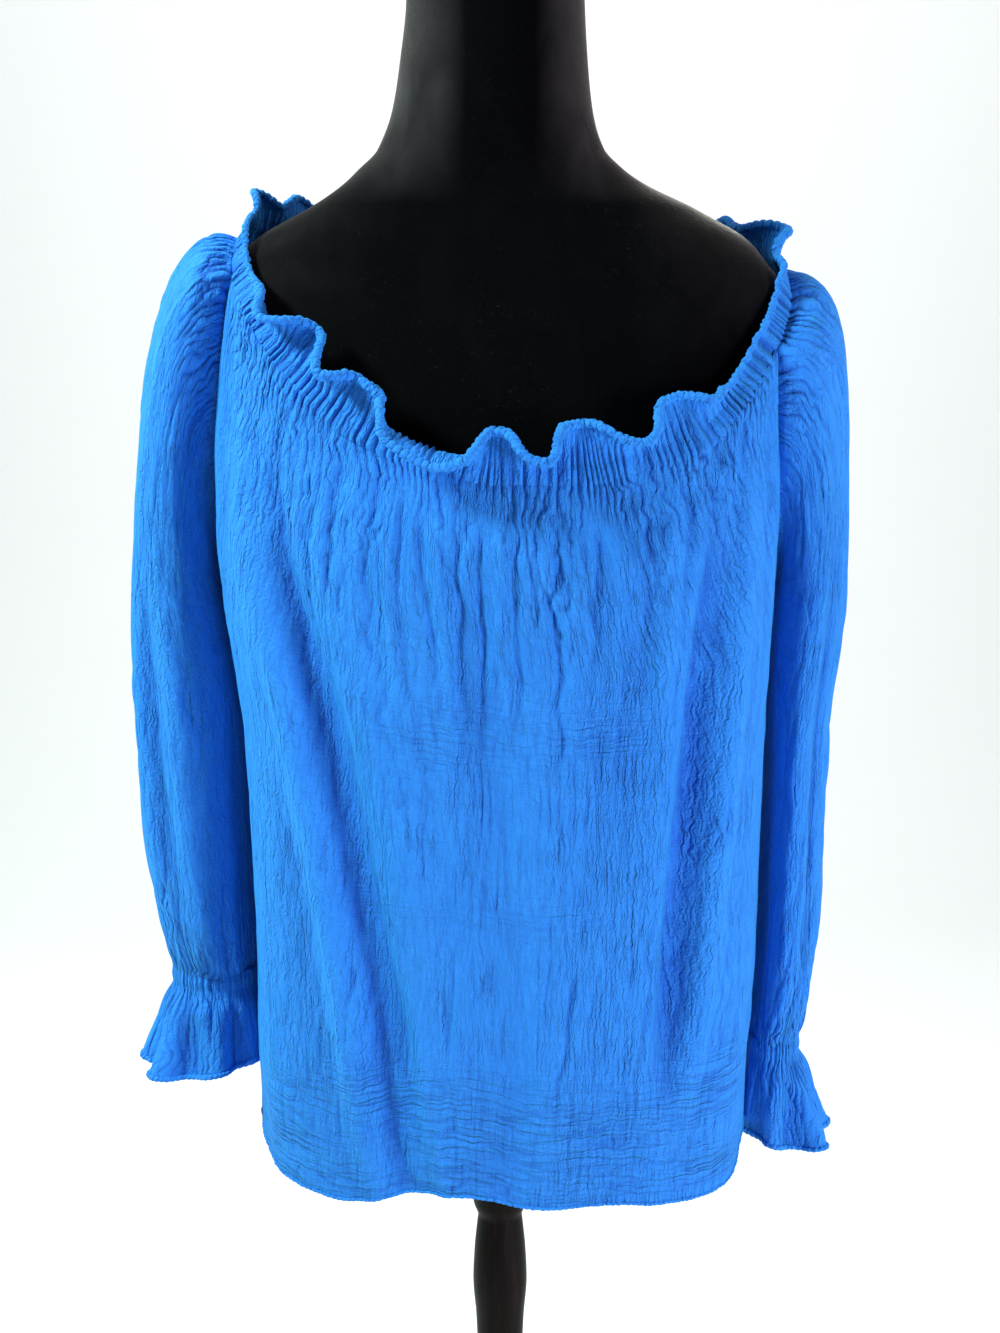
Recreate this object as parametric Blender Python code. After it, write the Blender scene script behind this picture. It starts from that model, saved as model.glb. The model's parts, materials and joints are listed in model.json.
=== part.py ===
"""Peasant blouse of crinkled cotton gauze, worn by a limbless dress form on a turned wooden stand.

Metres, +Z up. The origin is the centre of the base's underside, on the floor. The blouse's front faces -Y.
A plan angle is 0 at the front centre and 90 at +X. A height is measured up from the level of the hem.
Each cloth piece is a grid laid over a surface worked out from the tables below, then given its wall.
"""

import math

import bmesh
import bpy
import numpy as np


class Table:
    """Rows of named columns, joined by a smooth curve that is level at both ends and never overshoots."""

    def __init__(self, names, *rows):
        self.columns = dict(zip(names.split(), np.array(rows, float).T))
        self.places = self.columns[names.split()[0]]

    def at(self, name, place):
        values = self.columns[name]
        slopes = np.diff(values) / np.diff(self.places)
        before, after = slopes[:-1], slopes[1:]
        turning = before * after <= 0
        inner = 2 * before * after / np.where(turning, 1, before + after)
        tangents = np.concatenate([[0], np.where(turning, 0, inner), [0]])
        place = np.clip(place, self.places[0], self.places[-1])
        row = np.clip(np.searchsorted(self.places, place, side="right") - 1, 0, len(values) - 2)
        step = self.places[row + 1] - self.places[row]
        t = (place - self.places[row]) / step
        return (
            values[row] * (1 + 2 * t) * (1 - t) ** 2
            + values[row + 1] * t * t * (3 - 2 * t)
            + step * (tangents[row] * t * (1 - t) ** 2 - tangents[row + 1] * t * t * (1 - t))
        )


# Driving sizes of the cloth
HEM_Z = 0.620
WALL = 0.0012
SEAM_GAP = 0.0006
ARMHOLE_GAP = 0.0025
CASING_HEIGHT = 0.012
FRILL_FOOT_LEAN = 0.30
FRILL_STRIDES = 8
SHOULDER_TILT = 0.55
UNDERARM_HEIGHT = 0.430
BICEP_HEIGHT = 0.400
CUFF_BAND = 0.009
LEFT = -1
RIGHT = 1
FRONT = 1
BACK = -1

BODY = Table(
    "height half_width front back centre_x squareness",
    (-0.030, 0.1825, 0.131, 0.120, 0.0025, 2.15),
    (0.040, 0.1825, 0.131, 0.120, 0.0025, 2.20),
    (0.150, 0.1830, 0.131, 0.120, 0.0050, 2.35),
    (0.300, 0.1850, 0.132, 0.120, 0.0040, 2.40),
    (0.440, 0.1945, 0.136, 0.122, -0.0010, 2.35),
    (0.500, 0.1960, 0.123, 0.116, -0.0010, 2.35),
    (0.560, 0.1970, 0.113, 0.108, 0.0030, 2.30),
    (0.600, 0.1950, 0.108, 0.104, 0.0050, 2.25),
    (0.640, 0.1860, 0.103, 0.101, 0.0055, 2.20),
    (0.680, 0.1720, 0.098, 0.096, 0.0040, 2.20),
)

# The lower edge of the elastic casing, round the neckline
NECKLINE = Table(
    "angle height",
    (-180, 0.580),
    (-130, 0.610),
    (-106, 0.642),
    (-91, 0.645),
    (-80, 0.621),
    (-62, 0.566),
    (-44, 0.528),
    (-21, 0.504),
    (0, 0.493),
    (22, 0.494),
    (40, 0.503),
    (54, 0.515),
    (64, 0.538),
    (75, 0.578),
    (90, 0.618),
    (105, 0.624),
    (130, 0.604),
    (180, 0.580),
)

# How far the hem hangs off level, round the body
HEM = Table(
    "angle height",
    (-180, 0.000),
    (-90, 0.000),
    (-50, -0.013),
    (-17, 0.006),
    (8, -0.006),
    (30, -0.009),
    (58, -0.020),
    (90, -0.004),
    (180, 0.000),
)

# Deep folds of the body cloth: a negative depth is a valley
BODY_FOLDS = Table(
    "top_angle bottom_angle top bottom width depth",
    (-75, -64, 0.56, -0.10, 8, 0.0050),
    (-62, -22, 0.53, 0.02, 6.5, -0.0090),
    (-45, -8, 0.49, -0.10, 7, 0.0035),
    (-9, -5, 0.46, 0.20, 8, -0.0040),
    (14, 12, 0.47, -0.10, 10, 0.0030),
    (34, 30, 0.46, 0.22, 7, -0.0040),
    (58, 44, 0.50, 0.05, 5.5, -0.0085),
    (71, 60, 0.54, -0.10, 8, 0.0055),
    (112, 116, 0.56, -0.10, 8, -0.0070),
    (133, 138, 0.55, 0.10, 9, -0.0080),
    (160, 156, 0.54, -0.10, 10, 0.0050),
    (184, 180, 0.53, 0.05, 8, -0.0085),
    (208, 212, 0.55, -0.10, 9, 0.0050),
    (230, 226, 0.56, 0.00, 8, -0.0080),
    (250, 246, 0.56, -0.10, 8, 0.0045),
)

# The frill: how far it turns out from upright, in degrees, and its height, at its crests and troughs.
# It is short where it is tucked in at the shoulders.
FRILL = Table(
    "angle lean height",
    (-180, 80, 0.026),
    (-160, 10, 0.026),
    (-143, 95, 0.027),
    (-128, 5, 0.024),
    (-118, 60, 0.022),
    (-111, 50, 0.028),
    (-105, 0, 0.017),
    (-99, 50, 0.025),
    (-94, 5, 0.010),
    (-88, 5, 0.006),
    (-78, 5, 0.006),
    (-73, 50, 0.013),
    (-67, 115, 0.026),
    (-60, 15, 0.027),
    (-52, 105, 0.027),
    (-46, 35, 0.024),
    (-39, 45, 0.024),
    (-32, 145, 0.026),
    (-20, 165, 0.027),
    (-11, 125, 0.027),
    (-4, 28, 0.026),
    (1, 28, 0.026),
    (8, 102, 0.027),
    (14, 118, 0.027),
    (19, 20, 0.027),
    (25, 5, 0.027),
    (29, 25, 0.027),
    (34, 92, 0.027),
    (40, 122, 0.027),
    (45, 50, 0.027),
    (49, 14, 0.027),
    (54, 12, 0.026),
    (60, 90, 0.020),
    (65, 20, 0.007),
    (82, 10, 0.006),
    (86, 50, 0.011),
    (89, 10, 0.010),
    (95, 75, 0.024),
    (104, -15, 0.024),
    (115, 75, 0.031),
    (124, 5, 0.024),
    (138, 95, 0.026),
    (157, 10, 0.026),
    (180, 80, 0.026),
)

# Level sections of each sleeve below the bicep: how far out it reaches, its y centre and half its depth
SLEEVE = {
    LEFT: Table(
        "height outer centre_y half_depth",
        (0.112, 0.2465, 0.020, 0.029),
        (0.128, 0.2490, 0.020, 0.037),
        (0.165, 0.2550, 0.020, 0.045),
        (0.220, 0.2610, 0.019, 0.049),
        (0.340, 0.2640, 0.016, 0.050),
        (0.400, 0.2625, 0.014, 0.050),
    ),
    RIGHT: Table(
        "height outer centre_y half_depth",
        (0.054, 0.2280, 0.026, 0.029),
        (0.070, 0.2305, 0.027, 0.036),
        (0.110, 0.2350, 0.028, 0.044),
        (0.150, 0.2375, 0.029, 0.049),
        (0.300, 0.2400, 0.030, 0.053),
        (0.400, 0.2490, 0.027, 0.052),
    ),
}
SLEEVE_CLEARANCE = 0.0042

# The sleeve head: how far it springs from the neckline, how far the arm runs on above the bicep and its
# inward lean there, the head's share of the grid, and the arm angle where the raglan seams start
HEAD_SPRING = {LEFT: 0.064, RIGHT: 0.052}
HEAD_RISE = {LEFT: 0.100, RIGHT: 0.130}
HEAD_LEAN = {LEFT: 0.06, RIGHT: 0.00}
HEAD_SHARE = 0.42
HEAD_CORNER = 45

# Lengthwise folds of the sleeves, by the angle round the arm: 0 outside, 90 in front
SLEEVE_FOLDS = {
    LEFT: Table(
        "top_angle bottom_angle top bottom width depth",
        (25, 38, 0.25, 0.95, 12, 0.0030),
        (52, 62, 0.30, 0.90, 13, -0.0060),
        (84, 92, 0.30, 1.10, 12, 0.0030),
        (150, 150, 0.50, 1.10, 14, -0.0030),
        (215, 222, 0.35, 1.10, 16, -0.0055),
        (262, 255, 0.30, 1.10, 15, 0.0040),
        (305, 300, 0.25, 0.95, 14, -0.0060),
    ),
    RIGHT: Table(
        "top_angle bottom_angle top bottom width depth",
        (22, 20, 0.25, 0.95, 12, 0.0025),
        (60, 66, 0.30, 0.95, 14, -0.0060),
        (100, 104, 0.40, 1.10, 13, 0.0025),
        (150, 150, 0.50, 1.10, 14, -0.0030),
        (225, 220, 0.35, 1.10, 15, -0.0050),
        (270, 265, 0.30, 1.10, 14, 0.0040),
        (318, 312, 0.25, 0.95, 14, -0.0055),
    ),
}

# Angles of the raglan seams where they meet the neckline
RAGLAN_TOP = {(LEFT, FRONT): -80, (RIGHT, FRONT): 74, (LEFT, BACK): -106, (RIGHT, BACK): 106}

# Flounces: distance below the band, growth of the section outwards, forwards and back
FLOUNCE_LENGTH = {LEFT: 0.062, RIGHT: 0.064}
FLOUNCE = Table(
    "fall outward sideways",
    (0.00, 0.000, 0.000),
    (0.25, 0.006, 0.006),
    (0.60, 0.010, 0.009),
    (1.00, 0.018, 0.014),
    (1.30, 0.026, 0.020),
)
FLOUNCE_WAVES = 7
FLOUNCE_WAVE_DEPTH = 0.0045

# The form: level sections above the hem
FORM = Table(
    "height half_width front back centre_x squareness",
    (0.0600, 0.158, 0.108, 0.106, 0.000, 2.4),
    (0.0680, 0.162, 0.112, 0.109, 0.000, 2.4),
    (0.1500, 0.152, 0.108, 0.106, 0.000, 2.3),
    (0.2700, 0.128, 0.092, 0.088, 0.000, 2.2),
    (0.4000, 0.152, 0.110, 0.096, 0.000, 2.2),
    (0.4600, 0.164, 0.115, 0.100, 0.000, 2.2),
    (0.5000, 0.172, 0.112, 0.101, 0.000, 2.2),
    (0.5500, 0.183, 0.098, 0.096, 0.000, 2.3),
    (0.5900, 0.193, 0.083, 0.086, 0.000, 2.3),
    (0.6130, 0.194, 0.073, 0.078, 0.000, 2.3),
    (0.6320, 0.182, 0.066, 0.070, 0.000, 2.3),
    (0.6480, 0.166, 0.061, 0.064, 0.001, 2.1),
    (0.6665, 0.133, 0.056, 0.059, 0.001, 2.0),
    (0.6835, 0.102, 0.054, 0.057, -0.004, 2.0),
    (0.6940, 0.0885, 0.054, 0.057, -0.006, 2.0),
    (0.7060, 0.0765, 0.055, 0.057, -0.006, 2.0),
    (0.7320, 0.0672, 0.056, 0.058, -0.005, 2.0),
    (0.7650, 0.0625, 0.056, 0.058, -0.004, 2.0),
    (0.8000, 0.0593, 0.055, 0.057, -0.003, 2.0),
    (0.8260, 0.0585, 0.0545, 0.0565, -0.003, 2.0),
    (0.8320, 0.0550, 0.0510, 0.0530, -0.003, 2.0),
)
FORM_ROWS = 30
FORM_COLUMNS = 32

# The stand: radii up the turned pole, and the round base
FORM_UNDERSIDE = HEM_Z + 0.0600
STAND_GAP = 0.0004
BASE_RADIUS = 0.160
BASE_THICKNESS = 0.026
BASE_EDGE = 0.007
POLE = (
    (0.0000, 0.0300),
    (0.0090, 0.0300),
    (0.0160, 0.0215),
    (0.0300, 0.0185),
    (0.0500, 0.0225),
    (0.0640, 0.0170),
    (0.1100, 0.0150),
    (0.2900, 0.0158),
    (0.3700, 0.0172),
    (0.4060, 0.0185),
    (0.4370, 0.0208),
    (0.4620, 0.0197),
    (0.4850, 0.0174),
    (0.4905, 0.0168),
    (0.4930, 0.0176),
    (0.5000, 0.0203),
    (0.5110, 0.0213),
    (0.5250, 0.0195),
    (0.5400, 0.0168),
    (0.6200, 0.0165),
    (0.6280, 0.0230),
)
POLE_SIDES = 24
BASE_SIDES = 40

# Grid sizes of the cloth pieces: columns across or round, rows up
GRIDS = {
    "front_panel": (34, 12),
    "back_panel": (28, 10),
    "sleeve": (24, 14),
    "neck_casing": (72, 1),
    "neck_frill": (108, 3),
    "cuff_band": (20, 1),
    "cuff_flounce": (28, 3),
}

# name: (colour, roughness, metallic)
FINISHES = {
    "gauze": ((0.03, 0.24, 0.83), 0.85, 0.0),
    "velvet": ((0.006, 0.006, 0.008), 0.90, 0.0),
    "wood": ((0.013, 0.011, 0.009), 0.45, 0.0),
}


def clear_scene():
    for obj in list(bpy.data.objects):
        bpy.data.objects.remove(obj, do_unlink=True)


def ease(t):
    """0 to 1 with level ends."""
    t = np.clip(t, 0, 1)
    return t * t * (3 - 2 * t)


def outline(angle, half_width, front, back, squareness):
    """Distance from the centre line to a superellipse at a plan angle in degrees."""
    sine = np.sin(np.radians(angle))
    cosine = np.cos(np.radians(angle))
    across = np.abs(sine) / half_width
    along = np.abs(cosine) / np.where(cosine > 0, front, back)
    return (across**squareness + along**squareness) ** (-1 / squareness)


def section_point(table, angle, height, lift=0.0):
    """A point of a table's level section at a plan angle and a height above the hem."""
    sizes = [table.at(name, height) for name in ("half_width", "front", "back", "squareness")]
    radius = lift + outline(angle, *sizes)
    x = table.at("centre_x", height) + radius * np.sin(np.radians(angle))
    return np.stack([x, -radius * np.cos(np.radians(angle)), HEM_Z + height + 0 * x], -1)


def folds(table, angle, place):
    """The depth of the folds at an angle in degrees and a place along them."""
    total = 0.0
    for top_angle, bottom_angle, top, bottom, width, depth in zip(*table.columns.values()):
        along = (place - top) / (bottom - top)
        middle = top_angle + (bottom_angle - top_angle) * np.clip(along, 0, 1)
        away = (angle - middle + 180) % 360 - 180
        grown = ease(along / 0.35) * ease((1.0 - along) / 0.25)
        total = total + depth * grown * np.exp(-((away / width) ** 2))
    return total


def body_point(angle, height):
    return section_point(BODY, angle, height, folds(BODY_FOLDS, angle, height))


def seam_angle(side, face, height):
    """The plan angle of the side seam and, above the underarm, of the raglan seam."""
    top_angle = RAGLAN_TOP[side, face]
    rise = NECKLINE.at("height", top_angle) - UNDERARM_HEIGHT
    opened = np.sin(math.pi / 2 * np.clip((height - UNDERARM_HEIGHT) / rise, 0, 1))
    return side * 90 + (top_angle - side * 90) * opened


def neckline_frame(angle):
    """A neckline point, with the directions up the cloth and out of it."""
    here = body_point(angle, NECKLINE.at("height", angle))
    ahead = body_point(angle + 0.5, NECKLINE.at("height", angle + 0.5))
    along = ahead - here
    along = along / np.linalg.norm(along, axis=-1, keepdims=True)
    level = np.stack([np.sin(np.radians(angle)), -np.cos(np.radians(angle)), 0 * angle], -1)
    inward = SHOULDER_TILT * np.sin(np.radians(angle))[..., None] ** 2
    up = np.array([0.0, 0.0, 1.0]) - inward * level
    up = up - np.sum(up * along, axis=-1, keepdims=True) * along
    up = up / np.linalg.norm(up, axis=-1, keepdims=True)
    return here, up, np.cross(along, up)


def panel_surface(face):
    """The front or the back: u from seam to seam, v from the hem to the neckline."""
    first = (LEFT, FRONT) if face == FRONT else (RIGHT, BACK)
    last = (RIGHT, FRONT) if face == FRONT else (LEFT, BACK)
    turn = 0 if face == FRONT else 360

    def edge_angle(corner, v):
        top = NECKLINE.at("height", RAGLAN_TOP[corner])
        hem = HEM.at("height", corner[0] * 90)
        return seam_angle(*corner, hem + v * (top - hem))

    def surface(u, v):
        start = edge_angle(first, v)
        end = edge_angle(last, v) + turn
        gap = np.degrees(SEAM_GAP / 0.19)
        angle = (start + gap) + (end - start - 2 * gap) * u
        top_angle = RAGLAN_TOP[first] + (RAGLAN_TOP[last] + turn - RAGLAN_TOP[first]) * u
        top = NECKLINE.at("height", (top_angle + 180) % 360 - 180) - SEAM_GAP
        hem = HEM.at("height", (angle + 180) % 360 - 180)
        return body_point(angle, hem + v * (top - hem))

    return surface


def armhole_point(side, arm_angle):
    """The sleeve's upper edge: the neckline across the shoulder, then the raglan seams to the underarm."""
    turned = (arm_angle + 180) % 360 - 180
    result = np.zeros(np.shape(arm_angle) + (3,))
    for face in (FRONT, BACK):
        top_angle = RAGLAN_TOP[side, face]
        reach = np.abs(turned)
        over = side * 90 + (top_angle - side * 90) * np.clip(reach / HEAD_CORNER, 0, 1)
        height = NECKLINE.at("height", over) - SEAM_GAP
        drop = np.where(reach > HEAD_CORNER, (reach - HEAD_CORNER) / (180 - HEAD_CORNER), 0)
        height = height + (UNDERARM_HEIGHT - height) * drop
        plan = np.where(reach > HEAD_CORNER, seam_angle(side, face, height), over)
        here = turned >= 0 if face == FRONT else turned < 0
        result = np.where(here[..., None], body_point(plan, height), result)
    return result


def sleeve_section(side, arm_angle, height):
    """A point round a level section of the arm, with its outward direction."""
    table = SLEEVE[side]
    inner = BODY.at("half_width", height) + side * BODY.at("centre_x", height) + SLEEVE_CLEARANCE
    middle = (table.at("outer", height) + inner) / 2
    half_width = (table.at("outer", height) - inner) / 2
    cosine = np.cos(np.radians(arm_angle))
    sine = np.sin(np.radians(arm_angle))
    x = side * (middle + half_width * cosine)
    y = table.at("centre_y", height) - table.at("half_depth", height) * sine
    return np.stack([x, y, HEM_Z + height + 0 * x], -1)


def sleeve_outward(side, arm_angle):
    return np.stack(
        [side * np.cos(np.radians(arm_angle)), -np.sin(np.radians(arm_angle)), 0 * arm_angle], -1
    )


def sleeve_surface(side):
    """u round the arm from the outside through the front, v from the armhole down to the cuff band."""

    def surface(u, v):
        arm_angle = 360 * u
        cosine = np.cos(np.radians(arm_angle))
        sine = np.sin(np.radians(arm_angle))
        start = armhole_point(side, arm_angle)
        bicep = sleeve_section(side, arm_angle, BICEP_HEIGHT + 0 * arm_angle)
        climb = 0.14 * cosine**2 + 0.46 * cosine - 0.10
        leave = np.stack([side * (0.80 + 0.20 * cosine), -0.45 * sine, climb], -1)
        leave = leave / np.linalg.norm(leave, axis=-1, keepdims=True)
        start = start + ARMHOLE_GAP * leave
        reach = (0.010 + (HEAD_SPRING[side] - 0.010) * (1 + cosine) / 2)[..., None]
        height = 0.010 + (HEAD_RISE[side] - 0.010) * (1 + cosine) / 2
        rise = np.stack([-side * HEAD_LEAN[side] * height * (1 + cosine) / 2, 0 * u, height], -1)
        t = np.clip(v / HEAD_SHARE, 0, 1)[..., None]
        first = start + reach * leave
        second = bicep + rise
        rest = 1 - t
        cap = rest**3 * start + 3 * rest**2 * t * first + 3 * rest * t**2 * second + t**3 * bicep
        down = np.clip((v - HEAD_SHARE) / (1 - HEAD_SHARE), 0, 1)
        lower_end = SLEEVE[side].places[0]
        arm = sleeve_section(side, arm_angle, BICEP_HEIGHT + (lower_end - BICEP_HEIGHT) * down)
        point = np.where(v[..., None] < HEAD_SHARE, cap, arm)
        depth = folds(SLEEVE_FOLDS[side], arm_angle, v)
        return point + depth[..., None] * sleeve_outward(side, arm_angle)

    return surface


def band_surface(side):
    """The gathered elastic band at the wrist."""
    top = SLEEVE[side].places[0]

    def surface(u, v):
        arm_angle = 360 * u
        point = sleeve_section(side, arm_angle, top + 0 * v)
        pucker = -0.0006 + 0.0006 * np.cos(2 * math.pi * 10 * u)
        point = point + pucker[..., None] * sleeve_outward(side, arm_angle)
        point[..., 2] -= SEAM_GAP + (CUFF_BAND - 2 * SEAM_GAP) * v
        return point

    return surface


def flounce_surface(side):
    """The flared and waved flounce below the band."""
    top = SLEEVE[side].places[0]
    length = FLOUNCE_LENGTH[side]

    def surface(u, v):
        arm_angle = 360 * u
        cosine = np.cos(np.radians(arm_angle))
        point = sleeve_section(side, arm_angle, top + 0 * v)
        free = 0.10 + 0.90 * (1 + cosine) / 2
        wave = FLOUNCE_WAVE_DEPTH * v * free * np.cos(2 * math.pi * FLOUNCE_WAVES * u + 1.0)
        outward = FLOUNCE.at("outward", v) * np.clip(cosine, -0.05, 1)
        sideways = FLOUNCE.at("sideways", v) * np.abs(np.sin(np.radians(arm_angle)))
        grown = outward + sideways + wave
        point = point + grown[..., None] * sleeve_outward(side, arm_angle)
        point[..., 2] -= CUFF_BAND + SEAM_GAP + (length + 0.006 * cosine) * v
        return point

    return surface


def casing_surface(u, v):
    """The elastic casing round the neckline."""
    here, up, _ = neckline_frame(360 * u - 180)
    lift = SEAM_GAP + (CASING_HEIGHT - 2 * SEAM_GAP) * v
    return here + lift[..., None] * up


def frill_surface(u, v):
    """The free frill above the casing, curling over to its lean in short strides from its foot."""
    angle = 360 * u - 180
    here, up, out = neckline_frame(angle)
    lean = FRILL.at("lean", angle)
    point = here + (CASING_HEIGHT + 2.5 * SEAM_GAP) * up
    for step in range(FRILL_STRIDES):
        curl = FRILL_FOOT_LEAN + (1 - FRILL_FOOT_LEAN) * (step + 0.5) / FRILL_STRIDES
        turn = np.radians(lean * curl)[..., None]
        share = np.clip(v * FRILL_STRIDES - step, 0, 1) / FRILL_STRIDES
        stride = (FRILL.at("height", angle) * share)[..., None]
        point = point + stride * (np.cos(turn) * up + np.sin(turn) * out)
    return point


def cloth(name, surface, grid, closed, finish):
    """A grid laid over a surface, joined to itself where it goes right round, and given its wall."""
    columns, rows = grid
    mesh = bpy.data.meshes.new(name)
    sheet = bmesh.new()
    bmesh.ops.create_grid(sheet, x_segments=columns, y_segments=rows, size=0.5)
    flat = np.array([vert.co for vert in sheet.verts], float) + 0.5
    places = surface(flat[:, 0], flat[:, 1])
    for vert, place in zip(sheet.verts, places):
        vert.co = place
    if closed:
        bmesh.ops.remove_doubles(sheet, verts=sheet.verts, dist=1e-6)
    sheet.to_mesh(mesh)
    sheet.free()
    obj = add_object(name, mesh, finish)
    wall = obj.modifiers.new("wall", "SOLIDIFY")
    wall.thickness = WALL
    wall.offset = 0
    return obj


def add_object(name, mesh, finish):
    obj = bpy.data.objects.new(name, mesh)
    bpy.context.scene.collection.objects.link(obj)
    colour, roughness, metallic = FINISHES[finish]
    material = bpy.data.materials.new(name)
    material.use_nodes = True
    shader = material.node_tree.nodes["Principled BSDF"]
    shader.inputs["Base Color"].default_value = (*colour, 1)
    shader.inputs["Roughness"].default_value = roughness
    shader.inputs["Metallic"].default_value = metallic
    mesh.materials.append(material)
    mesh.shade_smooth()
    return obj


def torso():
    """The form: level sections from its underside to the top of its neck, with a flat cap at each end."""
    mesh = bpy.data.meshes.new("torso")
    skin = bmesh.new()
    bmesh.ops.create_grid(skin, x_segments=FORM_COLUMNS, y_segments=FORM_ROWS, size=0.5)
    flat = np.array([vert.co for vert in skin.verts], float) + 0.5
    heights = np.interp(flat[:, 1] * (len(FORM.places) - 1), range(len(FORM.places)), FORM.places)
    places = section_point(FORM, 360 * flat[:, 0] - 180, heights)
    for vert, place in zip(skin.verts, places):
        vert.co = place
    bmesh.ops.remove_doubles(skin, verts=skin.verts, dist=1e-6)
    bmesh.ops.holes_fill(skin, edges=[edge for edge in skin.edges if edge.is_boundary], sides=0)
    bmesh.ops.recalc_face_normals(skin, faces=skin.faces)
    skin.to_mesh(mesh)
    skin.free()
    obj = add_object("torso", mesh, "velvet")
    mesh.set_sharp_from_angle(angle=math.radians(50))
    return obj


def turned(name, profile, sides, finish):
    """A solid of revolution about Z from (height, radius) pairs, closed on the axis at both ends."""
    mesh = bpy.data.meshes.new(name)
    shape = bmesh.new()
    outer = [shape.verts.new((radius, 0, height)) for height, radius in profile]
    bottom = shape.verts.new((0, 0, profile[0][0]))
    top = shape.verts.new((0, 0, profile[-1][0]))
    chain = [bottom, *outer, top]
    edges = [shape.edges.new(pair) for pair in zip(chain, chain[1:])]
    bmesh.ops.spin(
        shape,
        geom=chain + edges,
        cent=(0, 0, 0),
        axis=(0, 0, 1),
        angle=2 * math.pi,
        steps=sides,
        use_merge=True,
    )
    bmesh.ops.remove_doubles(shape, verts=shape.verts, dist=1e-6)
    bmesh.ops.recalc_face_normals(shape, faces=shape.faces)
    shape.to_mesh(mesh)
    shape.free()
    obj = add_object(name, mesh, finish)
    mesh.set_sharp_from_angle(angle=math.radians(40))
    return obj


def stand():
    """The round base and the turned pole under the form."""
    base_top = BASE_THICKNESS
    turned(
        "stand_base",
        (
            (0.0, BASE_RADIUS - 0.002),
            (0.002, BASE_RADIUS),
            (base_top - BASE_EDGE, BASE_RADIUS),
            (base_top - BASE_EDGE * 0.3, BASE_RADIUS - BASE_EDGE * 0.3),
            (base_top, BASE_RADIUS - BASE_EDGE),
        ),
        BASE_SIDES,
        "wood",
    )
    foot = base_top + STAND_GAP
    stretch = (FORM_UNDERSIDE - STAND_GAP - foot) / (POLE[-1][0] - POLE[0][0])
    turned("stand_pole", [(foot + height * stretch, radius) for height, radius in POLE], POLE_SIDES, "wood")


def blouse():
    cloth("front_panel", panel_surface(FRONT), GRIDS["front_panel"], False, "gauze")
    cloth("back_panel", panel_surface(BACK), GRIDS["back_panel"], False, "gauze")
    cloth("neck_casing", casing_surface, GRIDS["neck_casing"], True, "gauze")
    cloth("neck_frill", frill_surface, GRIDS["neck_frill"], True, "gauze")
    for side, word in ((LEFT, "left"), (RIGHT, "right")):
        cloth(f"sleeve_{word}", sleeve_surface(side), GRIDS["sleeve"], True, "gauze")
        cloth(f"cuff_band_{word}", band_surface(side), GRIDS["cuff_band"], True, "gauze")
        cloth(f"cuff_flounce_{word}", flounce_surface(side), GRIDS["cuff_flounce"], True, "gauze")


def main():
    clear_scene()
    blouse()
    torso()
    stand()


main()
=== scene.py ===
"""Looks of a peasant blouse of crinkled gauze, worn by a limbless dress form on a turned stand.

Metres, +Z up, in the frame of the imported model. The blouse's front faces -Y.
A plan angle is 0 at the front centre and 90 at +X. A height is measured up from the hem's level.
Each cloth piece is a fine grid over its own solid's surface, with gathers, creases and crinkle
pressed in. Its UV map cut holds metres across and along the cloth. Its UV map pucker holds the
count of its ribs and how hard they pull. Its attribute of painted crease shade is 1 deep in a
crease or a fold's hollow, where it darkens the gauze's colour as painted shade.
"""

import json
import math

import bmesh
import bpy
import numpy as np
from bpy.props import FloatProperty, FloatVectorProperty, PointerProperty
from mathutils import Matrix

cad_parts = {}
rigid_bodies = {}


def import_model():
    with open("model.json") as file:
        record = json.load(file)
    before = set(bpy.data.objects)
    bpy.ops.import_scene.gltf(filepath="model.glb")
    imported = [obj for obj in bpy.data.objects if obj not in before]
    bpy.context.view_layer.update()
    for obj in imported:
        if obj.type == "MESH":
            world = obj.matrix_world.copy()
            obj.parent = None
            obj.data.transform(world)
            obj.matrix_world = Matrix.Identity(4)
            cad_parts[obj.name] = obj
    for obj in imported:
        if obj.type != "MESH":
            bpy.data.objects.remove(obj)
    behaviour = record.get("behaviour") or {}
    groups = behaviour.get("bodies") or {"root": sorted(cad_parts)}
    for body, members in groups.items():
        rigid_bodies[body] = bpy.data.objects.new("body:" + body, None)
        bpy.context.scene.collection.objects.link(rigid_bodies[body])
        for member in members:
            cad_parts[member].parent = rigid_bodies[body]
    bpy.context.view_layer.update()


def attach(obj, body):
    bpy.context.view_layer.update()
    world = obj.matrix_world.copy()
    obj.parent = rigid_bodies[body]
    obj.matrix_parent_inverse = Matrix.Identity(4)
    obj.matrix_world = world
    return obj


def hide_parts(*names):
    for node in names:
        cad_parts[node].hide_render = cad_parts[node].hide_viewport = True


bl_info = {
    "name": "Peasant blouse on a dress form",
    "version": (1, 0, 0),
    "blender": (4, 5, 0),
    "location": "3D View > Sidebar > Blouse",
    "description": "Builds a gauze peasant blouse, its dress form, turned stand and studio",
    "category": "Object",
}

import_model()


class Table:
    """Rows of named columns, joined by a smooth curve that never overshoots its rows."""

    def __init__(self, names, *rows):
        self.columns = dict(zip(names.split(), np.array(rows, float).T))
        self.places = self.columns[names.split()[0]]

    def at(self, name, place):
        values = self.columns[name]
        slopes = np.diff(values) / np.diff(self.places)
        before, after = slopes[:-1], slopes[1:]
        turning = before * after <= 0
        inner = 2 * before * after / np.where(turning, 1, before + after)
        tangents = np.concatenate([[0], np.where(turning, 0, inner), [0]])
        place = np.clip(place, self.places[0], self.places[-1])
        row = np.clip(np.searchsorted(self.places, place, side="right") - 1, 0, len(values) - 2)
        step = self.places[row + 1] - self.places[row]
        t = (place - self.places[row]) / step
        return (
            values[row] * (1 + 2 * t) * (1 - t) ** 2
            + values[row + 1] * t * t * (3 - 2 * t)
            + step * (tangents[row] * t * (1 - t) ** 2 - tangents[row + 1] * t * t * (1 - t))
        )


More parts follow.
